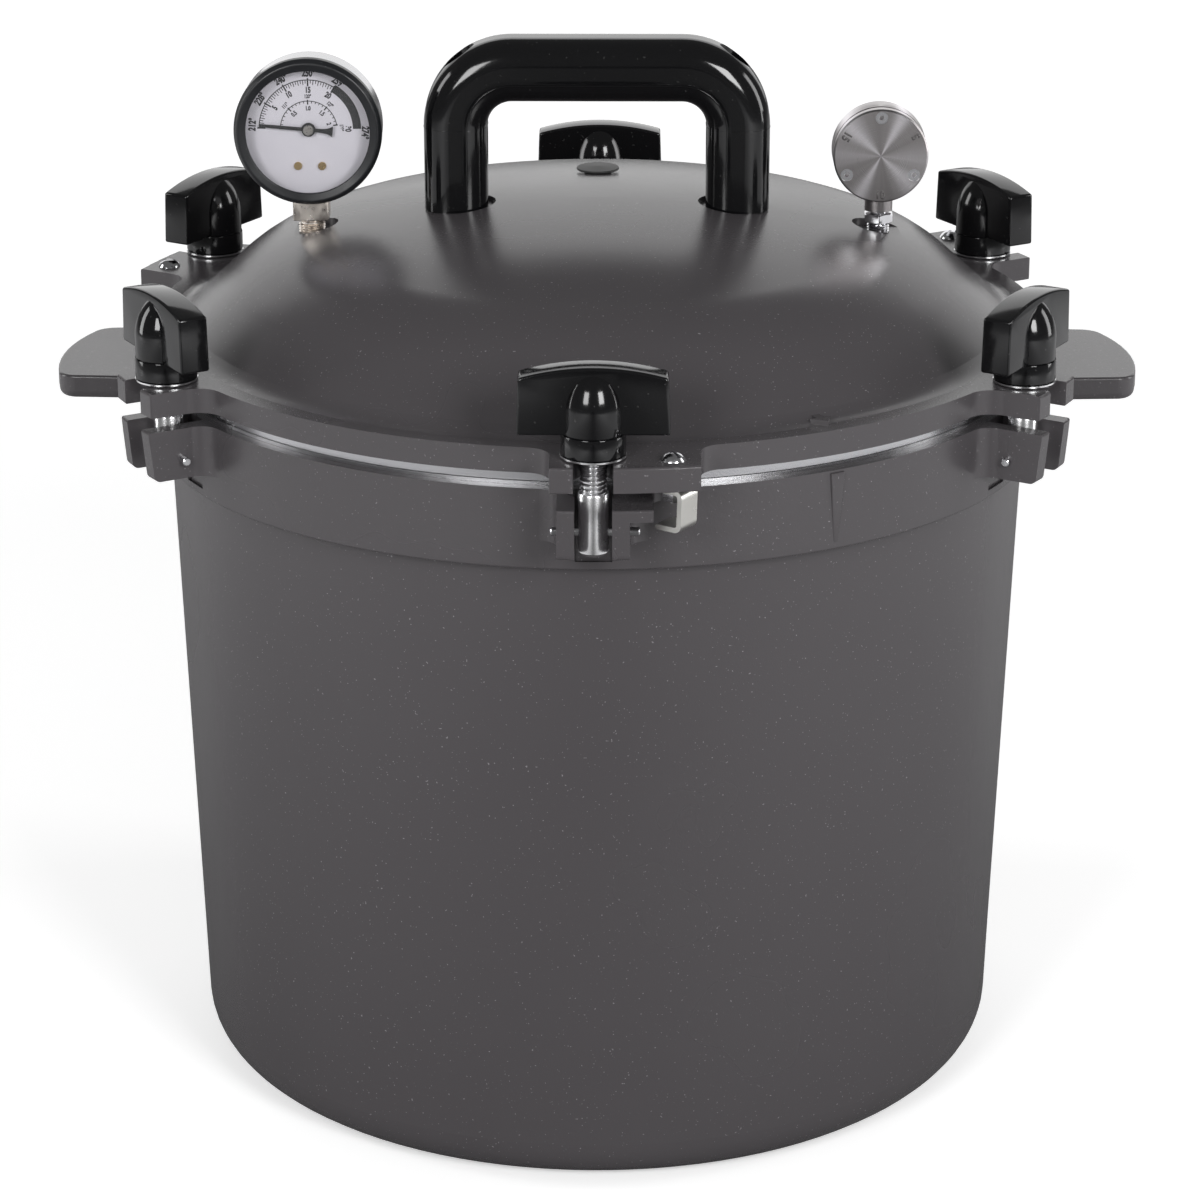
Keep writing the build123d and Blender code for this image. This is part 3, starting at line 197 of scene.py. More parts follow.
cast_charcoal = shader("cast_charcoal", CHARCOAL, 0.36, IOR=1.5)
tree = cast_charcoal.node_tree
coat = tree.nodes["Principled BSDF"]
coordinates = tree.nodes.new("ShaderNodeTexCoord").outputs["Object"]
axes = tree.nodes.new("ShaderNodeSeparateXYZ")
tree.links.new(coordinates, axes.inputs[0])
across = sums(tree, "MULTIPLY", axes.outputs["X"], axes.outputs["X"])
along = sums(tree, "MULTIPLY", axes.outputs["Y"], axes.outputs["Y"])
radius = sums(tree, "SQRT", sums(tree, "ADD", across, along))
skin = use_group(tree, grain, Fine=1500.0, Coarse=260.0, Coarse_Share=0.25, Drift=7.0, Speck_Size=1500.0)
seal = sums(
    tree, "MULTIPLY",
    band_mask(tree, axes.outputs["Z"], SEAL_LOW, SEAL_TOP, 0.02 * MM),
    band_mask(tree, radius, 100 * MM, SEAL_EDGE, 0.02 * MM),
)
straight_wall = sums(tree, "SUBTRACT", radius, sums(tree, "MULTIPLY", axes.outputs["Z"], INSIDE_FLARE))
inside = sums(
    tree, "MULTIPLY",
    band_mask(tree, axes.outputs["Z"], POT_FLOOR, SEAL_TOP, 0.02 * MM),
    band_mask(tree, straight_wall, -1.0, INSIDE_EDGE, 0.05 * MM),
)
bare = sums(tree, "MAXIMUM", seal, inside)
painted = mix_colour(tree, skin.outputs["Tone"], CHARCOAL, CHARCOAL_PALE)
painted = mix_colour(tree, skin.outputs["Specks"], painted, CAST_SPECK)
tree.links.new(mix_colour(tree, bare, painted, BARE_METAL), coat.inputs["Base Color"])
tree.links.new(bare, coat.inputs["Metallic"])
tree.links.new(remap(tree, skin.outputs["Tone"], 0.3, 0.7, 0.22, 0.29), coat.inputs["Roughness"])
rough_band = sums(
    tree, "MULTIPLY",
    band_mask(tree, axes.outputs["Z"], BAND_LOW, BAND_TOP, 2 * MM),
    band_mask(tree, radius, BAND_EDGE, LUG_EDGE, 2 * MM),
)
pits = sums(tree, "MULTIPLY", noise(tree, coordinates, 420.0, 3.0, 0.65), 3.5)
turning = sums(tree, "SINE", sums(tree, "MULTIPLY", radius, 16000.0))
turning = sums(tree, "MULTIPLY", sums(tree, "MULTIPLY", turning, 0.35), bare)
relief = sums(tree, "ADD", skin.outputs["Height"], sums(tree, "MULTIPLY", pits, rough_band))
bump(cast_charcoal, sums(tree, "ADD", relief, turning), 0.14, 0.2 * MM)
finish_with(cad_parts["pot_body"], cast_charcoal)

# ---------------------------------------------------------------- index rib on the pot's band
# A tapered upright mark cast on the band below the lid's arrow, which shows where the lid goes.
# It is part of the same casting and coating: a wedge, widest at the top, with soft edges.
RIB_ANGLE = -59.9
RIB_RADIUS = 167.3 * MM
RIB_TOP = 273.2 * MM
RIB_BOTTOM = 247.5 * MM
RIB_WIDTH = 5.6 * MM
RIB_DEPTH = 2.2 * MM
RIB_TAPER = (0.6, 0.35)          # depth and width at the foot, as shares of those at the top


def nothing_selected():
    """Leaves every object unselected, in object mode."""
    if bpy.context.object and bpy.context.object.mode != "OBJECT":
        bpy.ops.object.mode_set(mode="OBJECT")
    bpy.ops.object.select_all(action="DESELECT")


def only(piece):
    """Makes one piece the selected and active object."""
    nothing_selected()
    piece.select_set(True)
    bpy.context.view_layer.objects.active = piece


def name_it(name):
    """Names the new active object and its mesh, and applies its place."""
    piece = bpy.context.object
    piece.name = piece.data.name = name
    bpy.ops.object.transform_apply(location=True, rotation=True, scale=True)
    return piece


def block(name, size, middle):
    """A cube primitive at its size and place."""
    nothing_selected()
    bpy.ops.mesh.primitive_cube_add(size=1.0, location=middle, scale=size)
    return name_it(name)


def pick(test, kind="FACE"):
    """Selects, in the piece being edited, the faces, edges or vertices that pass a test."""
    bpy.ops.mesh.select_mode(type=kind)
    bpy.ops.mesh.select_all(action="DESELECT")
    mesh = bmesh.from_edit_mesh(bpy.context.object.data)
    for item in {"FACE": mesh.faces, "EDGE": mesh.edges, "VERT": mesh.verts}[kind]:
        item.select_set(test(item))
    mesh.select_flush_mode()
    bmesh.update_edit_mesh(bpy.context.object.data)


def soften(piece, width, segments=3, angle=30.0):
    """Rounds every edge sharper than an angle."""
    only(piece)
    edge = piece.modifiers.new("edge", "BEVEL")
    edge.width = width
    edge.segments = segments
    edge.limit_method = "ANGLE"
    edge.angle_limit = radians(angle)
    edge.use_clamp_overlap = True
    bpy.ops.object.modifier_apply(modifier=edge.name)


def smooth(piece, angle=32.0):
    """Shades a piece smooth, with its sharper edges kept."""
    only(piece)
    bpy.ops.object.shade_smooth_by_angle(angle=radians(angle))


def move_mesh(piece, matrix):
    """Places a piece by moving its mesh, so that its object stays at the origin."""
    piece.data.transform(matrix)
    piece.data.update()


band_rib = block(
    "band_rib", (RIB_DEPTH, RIB_WIDTH, RIB_TOP - RIB_BOTTOM), (RIB_RADIUS, 0, (RIB_TOP + RIB_BOTTOM) / 2)
)
bpy.ops.object.mode_set(mode="EDIT")
pick(lambda face: face.normal.z < -0.5)
bpy.ops.transform.resize(
    value=(*RIB_TAPER, 1.0), center_override=(RIB_RADIUS - RIB_DEPTH / 2, 0, RIB_BOTTOM)
)
soften(band_rib, 0.35 * MM)
smooth(band_rib, 60.0)
move_mesh(band_rib, Matrix.Rotation(radians(RIB_ANGLE), 4, "Z"))
finish_with(band_rib, cast_charcoal)
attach(band_rib, "pot")

# ---------------------------------------------------------------- hinge pins and rack
# Steel pins pressed through the pot's ears, one for each swing bolt, with bright cut ends. The
# rack is a spun aluminium plate with holes that keeps the jars off the pot's floor.


def metal(name, colour, low, high, fine=900.0, drift=60.0, strength=0.05):
    """A bare metal with roughness that wanders between two values, and a faint grain."""
    made = shader(name, colour, low, 1.0)
    metal_tree = made.node_tree
    marks = use_group(metal_tree, grain, Fine=fine, Coarse=fine / 5, Coarse_Share=0.5, Drift=drift)
    wander = remap(metal_tree, marks.outputs["Tone"], 0.3, 0.7, low, high)
    metal_tree.links.new(wander, metal_tree.nodes["Principled BSDF"].inputs["Roughness"])
    shade = mix_colour(metal_tree, marks.outputs["Tone"], tuple(0.88 * part for part in colour), colour)
    metal_tree.links.new(shade, metal_tree.nodes["Principled BSDF"].inputs["Base Color"])
    bump(made, marks.outputs["Height"], strength, 0.1 * MM)
    return made


plated_steel = metal("plated_steel", (0.80, 0.80, 0.82), 0.08, 0.20)
spun_aluminium = metal("spun_aluminium", (0.74, 0.74, 0.75), 0.28, 0.42, 600.0, 40.0, 0.10)
finish_with(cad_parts["hinge_pins"], plated_steel)
finish_with(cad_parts["canning_rack"], spun_aluminium)

# ---------------------------------------------------------------- lid
# A domed casting with a flange and six slotted lugs that match the pot's ears, coated the same.
# An arrow is cast on its edge, and the fittings screw into spot-faced holes in the dome.
finish_with(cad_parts["lid"], cast_charcoal)

# ---------------------------------------------------------------- top handle
# One glossy black phenolic moulding, bolted down by two screws in deep wells in its bends. Its
# mould leaves a fine line along the inner side, front and back, and one across each leg.
PHENOLIC = (0.0045, 0.0045, 0.005)
HANDLE_LEG = 52.5 * MM
HANDLE_WIDTH = 23.7 * MM
HANDLE_DEPTH = 25.0 * MM
HANDLE_BEND = 21.0 * MM
HANDLE_LOW, HANDLE_HIGH = (corner[2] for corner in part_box("top_handle"))
MOULD_LINE = 4.4 * MM            # the line runs this far inside the bar's middle
MOULD_LINE_RADIUS = 0.28 * MM
SEAM_HEIGHT = HANDLE_LOW + 31.1 * MM
SEAM_WIDTH = 0.22 * MM
SEAM_REACH = 0.14 * MM

black_phenolic = shader("black_phenolic", PHENOLIC, 0.10, IOR=1.53)
tree = black_phenolic.node_tree
flow = use_group(tree, grain, Fine=300.0, Coarse=40.0, Coarse_Share=1.5, Drift=30.0)
gloss = remap(tree, flow.outputs["Tone"], 0.35, 0.65, 0.07, 0.13)
tree.links.new(gloss, tree.nodes["Principled BSDF"].inputs["Roughness"])
dusting = mix_colour(tree, flow.outputs["Specks"], PHENOLIC, (0.03, 0.03, 0.03))
tree.links.new(dusting, tree.nodes["Principled BSDF"].inputs["Base Color"])
bump(black_phenolic, flow.outputs["Height"], 0.03, 0.3 * MM)
finish_with(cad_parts["top_handle"], black_phenolic)
finish_with(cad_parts["handle_screws"], plated_steel)


def bar_line(name, inset, side):
    """A fine round line that follows the handle's inner side, from leg to leg."""
    half = HANDLE_LEG - inset
    top = HANDLE_HIGH - HANDLE_WIDTH / 2 - inset
    bend = HANDLE_BEND - inset
    depth = side * (HANDLE_DEPTH / 2 - 0.12 * MM)
    path = bpy.data.curves.new(name, "CURVE")
    path.dimensions = "3D"
    path.bevel_depth = MOULD_LINE_RADIUS
    path.bevel_resolution = 2
    path.use_fill_caps = True
    route = [(-half, HANDLE_LOW + 0.5 * MM)]
    for middle, start in ((-half + bend, pi), (half - bend, pi / 2)):
        for step in range(13):
            turn = start - step * pi / 24
            route.append((middle + bend * cos(turn), top - bend + bend * sin(turn)))
    route.append((half, HANDLE_LOW + 0.5 * MM))
    spline = path.splines.new("POLY")
    spline.points.add(len(route) - 1)
    for point, (x, z) in zip(spline.points, route):
        point.co = (x, depth, z, 1.0)
    piece = bpy.data.objects.new(name, path)
    bpy.context.scene.collection.objects.link(piece)
    only(piece)
    bpy.ops.object.convert(target="MESH")
    return bpy.context.object


for line_name, line_side in (("handle_line_front", -1), ("handle_line_back", 1)):
    line = bar_line(line_name, MOULD_LINE, line_side)
    smooth(line, 60.0)
    finish_with(line, black_phenolic)
    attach(line, "lid")
for seam_name, seam_side in (("leg_seam_left", -1), ("leg_seam_right", 1)):
    seam = block(
        seam_name,
        (HANDLE_WIDTH + 2 * SEAM_REACH, HANDLE_DEPTH + 2 * SEAM_REACH, SEAM_WIDTH),
        (seam_side * HANDLE_LEG, 0, SEAM_HEIGHT),
    )
    bpy.ops.object.mode_set(mode="EDIT")
    pick(lambda edge: abs(edge.verts[0].co.z - edge.verts[1].co.z) > 0.1 * MM, "EDGE")
    bpy.ops.mesh.bevel(offset=9.6 * MM, segments=10, affect="EDGES")
    smooth(seam, 40.0)
    finish_with(seam, black_phenolic)
    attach(seam, "lid")

# ---------------------------------------------------------------- gauge socket
# The gauge's stem is a square block of nickel-plated brass with a pipe thread below it, screwed
# into the lid; inside the case its stub carries the curved tube.
GAUGE_X = -107.0 * MM
LID_TOP = 289.0 * MM
SOCKET_BLOCK = (13.3 * MM, 10.6 * MM)
SOCKET_BLOCK_LOW = LID_TOP + 36.8 * MM
SOCKET_BLOCK_HIGH = LID_TOP + 46.0 * MM
SOCKET_STUB_HIGH = LID_TOP + 50.2 * MM
SOCKET_LOW = LID_TOP + 14.0 * MM
STUB_RADIUS = 3.6 * MM
PIPE_CREST = 5.0 * MM
PIPE_ROOT = 4.35 * MM
PIPE_PITCH = 0.94 * MM


def turned(name, rings, sides=64):
    """A turned piece on the Z axis: a disc drawn out ring by ring, each a radius and a height."""
    nothing_selected()
    radius_now, height_now = rings[0]
    bpy.ops.mesh.primitive_circle_add(
        vertices=sides, radius=radius_now, fill_type="NGON", location=(0, 0, height_now)
    )
    piece = name_it(name)
    bpy.ops.object.mode_set(mode="EDIT")
    bpy.ops.mesh.select_all(action="SELECT")
    for ring_radius, ring_height in rings[1:]:
        lift = (0, 0, ring_height - height_now)
        bpy.ops.mesh.extrude_region_move(TRANSFORM_OT_translate={"value": lift})
        scale = ring_radius / radius_now
        bpy.ops.transform.resize(value=(scale, scale, 1.0), center_override=(0, 0, ring_height))
        radius_now, height_now = ring_radius, ring_height
    bpy.ops.mesh.select_all(action="SELECT")
    bpy.ops.mesh.normals_make_consistent(inside=False)
    bpy.ops.object.mode_set(mode="OBJECT")
    return piece


def thread(name, root, crest, low, high, pitch, steps=28):
    """A V thread on the Z axis: a small triangle taken round and up by a screw, its ends closed."""
    nothing_selected()
    depth = crest - root + 0.15 * MM
    bpy.ops.mesh.primitive_circle_add(vertices=3, radius=depth / 1.5, rotation=(-pi / 2, -pi / 2, 0))
    ridge = name_it(name)
    move_mesh(ridge, Matrix.Translation((crest - depth / 1.5, 0, low + 0.5 * pitch)))
    bpy.ops.object.mode_set(mode="EDIT")
    bpy.ops.mesh.select_all(action="SELECT")
    bpy.ops.transform.resize(
        value=(1.0, 1.0, 0.92 * pitch / (1.155 * depth)), center_override=(0, 0, low + 0.5 * pitch)
    )
    bpy.ops.object.mode_set(mode="OBJECT")
    winding = ridge.modifiers.new("winding", "SCREW")
    winding.angle = 2 * pi
    winding.screw_offset = pitch
    winding.iterations = int((high - low) / pitch) - 1
    winding.steps = winding.render_steps = steps
    winding.use_smooth_shade = False
    bpy.ops.object.modifier_apply(modifier=winding.name)
    bpy.ops.object.mode_set(mode="EDIT")
    bpy.ops.mesh.select_all(action="SELECT")
    bpy.ops.mesh.remove_doubles(threshold=0.001 * MM)
    bpy.ops.mesh.fill_holes(sides=3)
    bpy.ops.mesh.normals_make_consistent(inside=False)
    bpy.ops.object.mode_set(mode="OBJECT")
    return ridge


def join(name, pieces):
    """Joins shapes into the first one."""
    nothing_selected()
    for piece in pieces:
        piece.select_set(True)
    bpy.context.view_layer.objects.active = pieces[0]
    bpy.ops.object.join()
    pieces[0].name = pieces[0].data.name = name
    return pieces[0]


def combine(piece, tool, operation):
    """Applies a boolean with a second shape, then deletes that shape."""
    only(piece)
    cut = piece.modifiers.new("cut", "BOOLEAN")
    cut.operation = operation
    cut.object = tool
    cut.solver = "EXACT"
    bpy.ops.object.modifier_apply(modifier=cut.name)
    bpy.data.objects.remove(tool)


nickel = metal("nickel", (0.93, 0.86, 0.79), 0.22, 0.45, 1500.0, 400.0, 0.18)
socket_block = block(
    "socket_block",
    (*SOCKET_BLOCK, SOCKET_BLOCK_HIGH - SOCKET_BLOCK_LOW),
    (0, 0, (SOCKET_BLOCK_LOW + SOCKET_BLOCK_HIGH) / 2),
)
soften(socket_block, 0.45 * MM, 2)
socket_stem = turned("socket_stem", [
    (PIPE_ROOT - 0.6 * MM, SOCKET_LOW), (PIPE_ROOT, SOCKET_LOW + 0.8 * MM),
    (PIPE_ROOT, SOCKET_BLOCK_LOW - 0.9 * MM), (PIPE_ROOT - 0.4 * MM, SOCKET_BLOCK_LOW - 0.5 * MM),
    (PIPE_ROOT - 0.4 * MM, SOCKET_BLOCK_LOW + 0.2 * MM), (STUB_RADIUS, SOCKET_BLOCK_LOW + 0.3 * MM),
    (STUB_RADIUS, SOCKET_STUB_HIGH),
], 48)
socket_thread = thread(
    "socket_thread", PIPE_ROOT, PIPE_CREST, SOCKET_LOW + 1 * MM, SOCKET_BLOCK_LOW - 0.6 * MM, PIPE_PITCH
)
gauge_socket = join("gauge_stem", [socket_block, socket_stem, socket_thread])
smooth(gauge_socket)
move_mesh(gauge_socket, Matrix.Translation((GAUGE_X, 0, 0)))
finish_with(gauge_socket, nickel)
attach(gauge_socket, "lid")
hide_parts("gauge_socket")

# ---------------------------------------------------------------- gauge case, bezel and lens
# A drawn steel case, bright plated, closed by a black enamelled bezel that holds a flat glass.
case_steel = metal("case_steel", (0.55, 0.55, 0.56), 0.10, 0.18, 500.0, 25.0, 0.04)
finish_with(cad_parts["gauge_case"], case_steel)
black_enamel = shader("black_enamel", (0.012, 0.013, 0.015), 0.34, IOR=1.5)
tree = black_enamel.node_tree
peel = use_group(tree, grain, Fine=900.0, Coarse=200.0, Coarse_Share=0.8, Drift=120.0, Speck_Size=1400.0)
enamel_gloss = remap(tree, peel.outputs["Tone"], 0.3, 0.7, 0.28, 0.42)
tree.links.new(enamel_gloss, tree.nodes["Principled BSDF"].inputs["Roughness"])
enamel = mix_colour(tree, peel.outputs["Specks"], (0.012, 0.013, 0.015), (0.05, 0.05, 0.055))
tree.links.new(enamel, tree.nodes["Principled BSDF"].inputs["Base Color"])
bump(black_enamel, peel.outputs["Height"], 0.08, 0.1 * MM)
finish_with(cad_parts["gauge_bezel"], black_enamel)
gauge_glass = shader("gauge_glass", (0.30, 0.31, 0.32), 0.03, Alpha=0.05, IOR=1.5)
finish_with(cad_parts["gauge_lens"], gauge_glass)

# ---------------------------------------------------------------- dial and its print
# A white enamelled disc with two brass screws. The scales are printed in black: an outer one of
# steam pressure and temperature, an inner one in other units, and a solid arc where it is too high.
GAUGE_MIDDLE = Vector((GAUGE_X, -5.0 * MM, LID_TOP + 72.0 * MM))
PRINT_THICKNESS = 0.04 * MM
OUTER_ARC = 18.6 * MM
INNER_ARC = 10.65 * MM
OUTER_MAJORS = (179.0, 149.0, 119.5, 90.0, 58.0)
INNER_MAJORS = (180.0, 134.0, 91.0, 50.0, 8.0)
TOO_HIGH_ARC = (58.0, 0.0)
OUTER_DEGREES = (
    ("212°", 175.5), ("228°", 147.5), ("240°", 118.0), ("250°", 89.0), ("259°", 57.0), ("274°", -4.0),
)
OUTER_PRESSURES = (("5", 147.5), ("10", 119.0), ("15", 90.0), ("20", 59.5), ("30", 0.0))
INNER_DEGREES = (("111°", 134.5), ("120°", 90.5), ("127°", 48.5), ("133°", 2.0))
INNER_PRESSURES = (("0.5", 133.0), ("1.0", 91.0), ("1.5", 50.0), ("2", 14.0))
FIGURE_ROWS = (                  # each row's height, its distance from the middle, and its figures
    (2.5 * MM, 20.9 * MM, OUTER_DEGREES),
    (2.1 * MM, 14.6 * MM, OUTER_PRESSURES),
    (1.35 * MM, 12.2 * MM, INNER_DEGREES),
    (1.6 * MM, 7.7 * MM, INNER_PRESSURES),
)

dial_white = shader("dial_white", (0.78, 0.77, 0.84), 0.42)
tree = dial_white.node_tree
paint = use_group(tree, grain, Fine=1200.0, Coarse=300.0, Coarse_Share=0.5, Drift=70.0)
tree.links.new(
    mix_colour(tree, paint.outputs["Tone"], (0.66, 0.64, 0.70), (0.72, 0.70, 0.76)),
    tree.nodes["Principled BSDF"].inputs["Base Color"],
)
bump(dial_white, paint.outputs["Height"], 0.03, 0.1 * MM)
finish_with(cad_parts["gauge_dial"], dial_white)
brass = metal("turned_brass", (0.70, 0.50, 0.24), 0.20, 0.34)
for brass_name in ("dial_screws", "movement_plates", "bourdon_tube", "gauge_sector", "gauge_link"):
    finish_with(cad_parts[brass_name], brass)

# Marks are drawn in a flat frame, x to the right and y up, then stood up on the dial.
ON_DIAL = Matrix.Translation(GAUGE_MIDDLE) @ Matrix.Rotation(pi / 2, 4, "X")
marks = []


def tick(angle, outside, length, width):
    """A short mark across a scale, at an angle from the right-hand side."""
    nothing_selected()
    bpy.ops.mesh.primitive_plane_add(size=1.0, location=(outside - length / 2, 0, 0))
    mark = bpy.context.object
    turn = Matrix.Rotation(radians(angle), 4, "Z")
    mark.data.transform(turn @ mark.matrix_basis @ Matrix.Diagonal((length, width, 1.0, 1.0)))
    mark.matrix_basis = Matrix.Identity(4)
    marks.append(mark)


def arc(radius_outside, width, start, end):
    """A printed arc: a narrow strip of the ring between two angles."""
    nothing_selected()
    steps = max(8, int(abs(start - end) / 4))
    bpy.ops.mesh.primitive_grid_add(x_subdivisions=1, y_subdivisions=steps, size=1.0)
    strip = bpy.context.object
    for corner in strip.data.vertices:
        reach = radius_outside - (0.5 - corner.co.x) * width
        turn = radians(start + (corner.co.y + 0.5) * (end - start))
        corner.co = (reach * cos(turn), reach * sin(turn), 0)
    marks.append(strip)


def figure(words, height, distance, angle, squeeze=0.72, tilt=None):
    """A printed number at a distance and angle from the middle, its foot towards the middle."""
    nothing_selected()
    bpy.ops.object.text_add()
    text = bpy.context.object
    text.data.body = words
    text.data.align_x = "CENTER"
    text.data.align_y = "CENTER"
    text.data.size = height / 0.7
    text.data.offset = 0.05 * height / 0.7
    bpy.ops.object.convert(target="MESH")
    number = bpy.context.object
    turn = Matrix.Rotation(radians(angle), 4, "Z") @ Matrix.Translation((distance, 0, 0))
    upright = Matrix.Rotation(radians(-90 if tilt is None else tilt), 4, "Z")
    number.data.transform(turn @ upright @ Matrix.Diagonal((squeeze, 1.0, 1.0, 1.0)))
    return number


for first, second in zip(OUTER_MAJORS, OUTER_MAJORS[1:]):
    for tenth in range(1, 10):
        tick(first + (second - first) * tenth / 10, OUTER_ARC, (1.5 if tenth % 2 else 2.0) * MM, 0.30 * MM)
for major in OUTER_MAJORS:
    tick(major, OUTER_ARC + 0.5 * MM, 3.0 * MM, 0.60 * MM)
for first, second in zip(INNER_MAJORS, INNER_MAJORS[1:]):
    for fifth in range(1, 5):
        tick(first + (second - first) * fifth / 5, INNER_ARC, 1.0 * MM, 0.28 * MM)
for major in INNER_MAJORS:
    tick(major, INNER_ARC + 0.3 * MM, 1.8 * MM, 0.50 * MM)
arc(OUTER_ARC, 0.36 * MM, OUTER_MAJORS[0], OUTER_MAJORS[-1])
arc(INNER_ARC, 0.32 * MM, INNER_MAJORS[0], INNER_MAJORS[-1])
arc(OUTER_ARC + 0.9 * MM, 3.1 * MM, *TOO_HIGH_ARC)
for height, distance, row in FIGURE_ROWS:
    for words, angle in row:
        marks.append(figure(words, height, distance, angle))
dial_print = join("dial_print", marks)
only(dial_print)
ink_body = dial_print.modifiers.new("ink", "SOLIDIFY")
ink_body.thickness = PRINT_THICKNESS
ink_body.offset = 0.0
bpy.ops.object.modifier_apply(modifier=ink_body.name)
move_mesh(dial_print, ON_DIAL)
printed_black = shader("printed_black", (0.016, 0.015, 0.017), 0.5)
tree = printed_black.node_tree
ink = use_group(tree, grain, Fine=4000.0, Coarse=900.0, Coarse_Share=0.5, Drift=500.0)
tree.links.new(
    mix_colour(tree, ink.outputs["Tone"], (0.010, 0.010, 0.012), (0.035, 0.033, 0.036)),
    tree.nodes["Principled BSDF"].inputs["Base Color"],
)
finish_with(dial_print, printed_black)
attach(dial_print, "lid")

# ---------------------------------------------------------------- pointer
# A stamped blade, painted matt black, with a flared tail; a bright steel cap with a turned centre
# mark covers its hub.
HUB_RADIUS = 1.95 * MM
HUB_FRONT = 7.7 * MM
pointer_black = shader("pointer_black", (0.012, 0.012, 0.013), 0.42)
tree = pointer_black.node_tree
matt = use_group(tree, grain, Fine=2500.0, Coarse=600.0, Coarse_Share=0.5, Drift=300.0)
blade_gloss = remap(tree, matt.outputs["Tone"], 0.3, 0.7, 0.36, 0.5)
tree.links.new(blade_gloss, tree.nodes["Principled BSDF"].inputs["Roughness"])
finish_with(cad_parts["gauge_pointer"], pointer_black)
finish_with(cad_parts["pointer_arbor"], plated_steel)
hub_cap = turned("pointer_hub_cap", [
    (HUB_RADIUS, HUB_FRONT), (HUB_RADIUS, HUB_FRONT + 0.25 * MM),
    (HUB_RADIUS - 0.2 * MM, HUB_FRONT + 0.4 * MM), (0.75 * MM, HUB_FRONT + 0.42 * MM),
    (0.6 * MM, HUB_FRONT + 0.30 * MM), (0.3 * MM, HUB_FRONT + 0.30 * MM),
    (0.2 * MM, HUB_FRONT + 0.42 * MM),
], 40)
smooth(hub_cap)
move_mesh(hub_cap, Matrix.Translation((GAUGE_X, 0, GAUGE_MIDDLE.z)) @ Matrix.Rotation(pi / 2, 4, "X"))
satin_steel = metal("satin_steel", (0.66, 0.63, 0.60), 0.25, 0.35, 3000.0, 900.0, 0.1)
finish_with(hub_cap, satin_steel)
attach(hub_cap, "pointer")

# ---------------------------------------------------------------- vent pipe
# A turned steel pipe with a hexagon and a pipe thread, screwed into the dome; the weight's bore
# sits over its upper end.
WEIGHT_X = 105.5 * MM
VENT_HEX_FLATS = 10.4 * MM
VENT_HEX_LOW = LID_TOP + 36.0 * MM
VENT_HEX_HIGH = LID_TOP + 39.4 * MM
VENT_HIGH = LID_TOP + 58.0 * MM
VENT_STEM = 3.2 * MM
VENT_CREST = 4.2 * MM
VENT_ROOT = 3.6 * MM
vent_hex = turned("vent_hex", [
    (VENT_HEX_FLATS / 1.732, VENT_HEX_LOW), (VENT_HEX_FLATS / 1.732, VENT_HEX_HIGH),
], 6)
vent_corner = turned("vent_corner", [
    (5.0 * MM, VENT_HEX_LOW - 0.01 * MM), (5.95 * MM, VENT_HEX_LOW + 0.5 * MM),
    (5.95 * MM, VENT_HEX_HIGH - 0.5 * MM), (5.0 * MM, VENT_HEX_HIGH + 0.01 * MM),
])
combine(vent_hex, vent_corner, "INTERSECT")
vent_stem = turned("vent_stem", [
    (VENT_ROOT - 0.6 * MM, SOCKET_LOW), (VENT_ROOT, SOCKET_LOW + 0.8 * MM),
    (VENT_ROOT, VENT_HEX_LOW + 0.2 * MM), (VENT_STEM, VENT_HEX_LOW + 0.3 * MM),
    (VENT_STEM, VENT_HIGH - 0.8 * MM), (VENT_STEM - 0.8 * MM, VENT_HIGH),
    (1.3 * MM, VENT_HIGH), (1.3 * MM, VENT_HIGH - 10 * MM),
], 48)
vent_thread = thread(
    "vent_thread", VENT_ROOT, VENT_CREST, SOCKET_LOW + 1 * MM, VENT_HEX_LOW - 0.1 * MM, PIPE_PITCH
)
vent = join("vent_fitting", [vent_hex, vent_stem, vent_thread])
smooth(vent)
move_mesh(vent, Matrix.Translation((WEIGHT_X, 0, 0)))
finish_with(vent, plated_steel)
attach(vent, "lid")
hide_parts("vent_pipe")

# ---------------------------------------------------------------- regulator weight
# A turned stainless disc on a sleeve, loose on the vent pipe, with three bored recesses. Its face
# is finished by radial brushing, and the setting at each recess is stamped opposite it. The bright
# and dark wedges and streaks that the brushing shows under the lamps are painted into the face's
# colour, as painted highlights and painted shade.
WEIGHT_MIDDLE = Vector((WEIGHT_X, -7.5 * MM, LID_TOP + 62.5 * MM))
# Painted highlights on the face: broad streaks round it, and bright wedges at three angles.
PAINTED_SHEEN_STREAKS = 3.0
PAINTED_HIGHLIGHT_WEDGES = ((62.0, 60.0, 0.75), (136.0, 30.0, 0.75), (-2.0, 22.0, 0.30))  # angle, sharpness, strength
weight_steel = shader("weight_steel", (0.60, 0.58, 0.57), 0.30, 1.0, Anisotropic=0.75)
tree = weight_steel.node_tree
place = tree.nodes.new("ShaderNodeMapping")
place.inputs["Location"].default_value = (-WEIGHT_X, 0, -WEIGHT_MIDDLE.z)
tree.links.new(tree.nodes.new("ShaderNodeTexCoord").outputs["Object"], place.inputs["Vector"])
axes = tree.nodes.new("ShaderNodeSeparateXYZ")
tree.links.new(place.outputs[0], axes.inputs[0])
spoke = sums(tree, "ARCTAN2", axes.outputs["Z"], axes.outputs["X"])
reach = sums(tree, "SQRT", sums(
    tree, "ADD", sums(tree, "MULTIPLY", axes.outputs["X"], axes.outputs["X"]),
    sums(tree, "MULTIPLY", axes.outputs["Z"], axes.outputs["Z"]),
))
spin_place = tree.nodes.new("ShaderNodeCombineXYZ")
tree.links.new(sums(tree, "COSINE", spoke), spin_place.inputs["X"])
tree.links.new(sums(tree, "SINE", spoke), spin_place.inputs["Y"])
painted_sheen = noise(tree, spin_place.outputs[0], PAINTED_SHEEN_STREAKS, 2.0, 0.6)
rings_place = tree.nodes.new("ShaderNodeCombineXYZ")
tree.links.new(sums(tree, "MULTIPLY", reach, 9000.0), rings_place.inputs["X"])
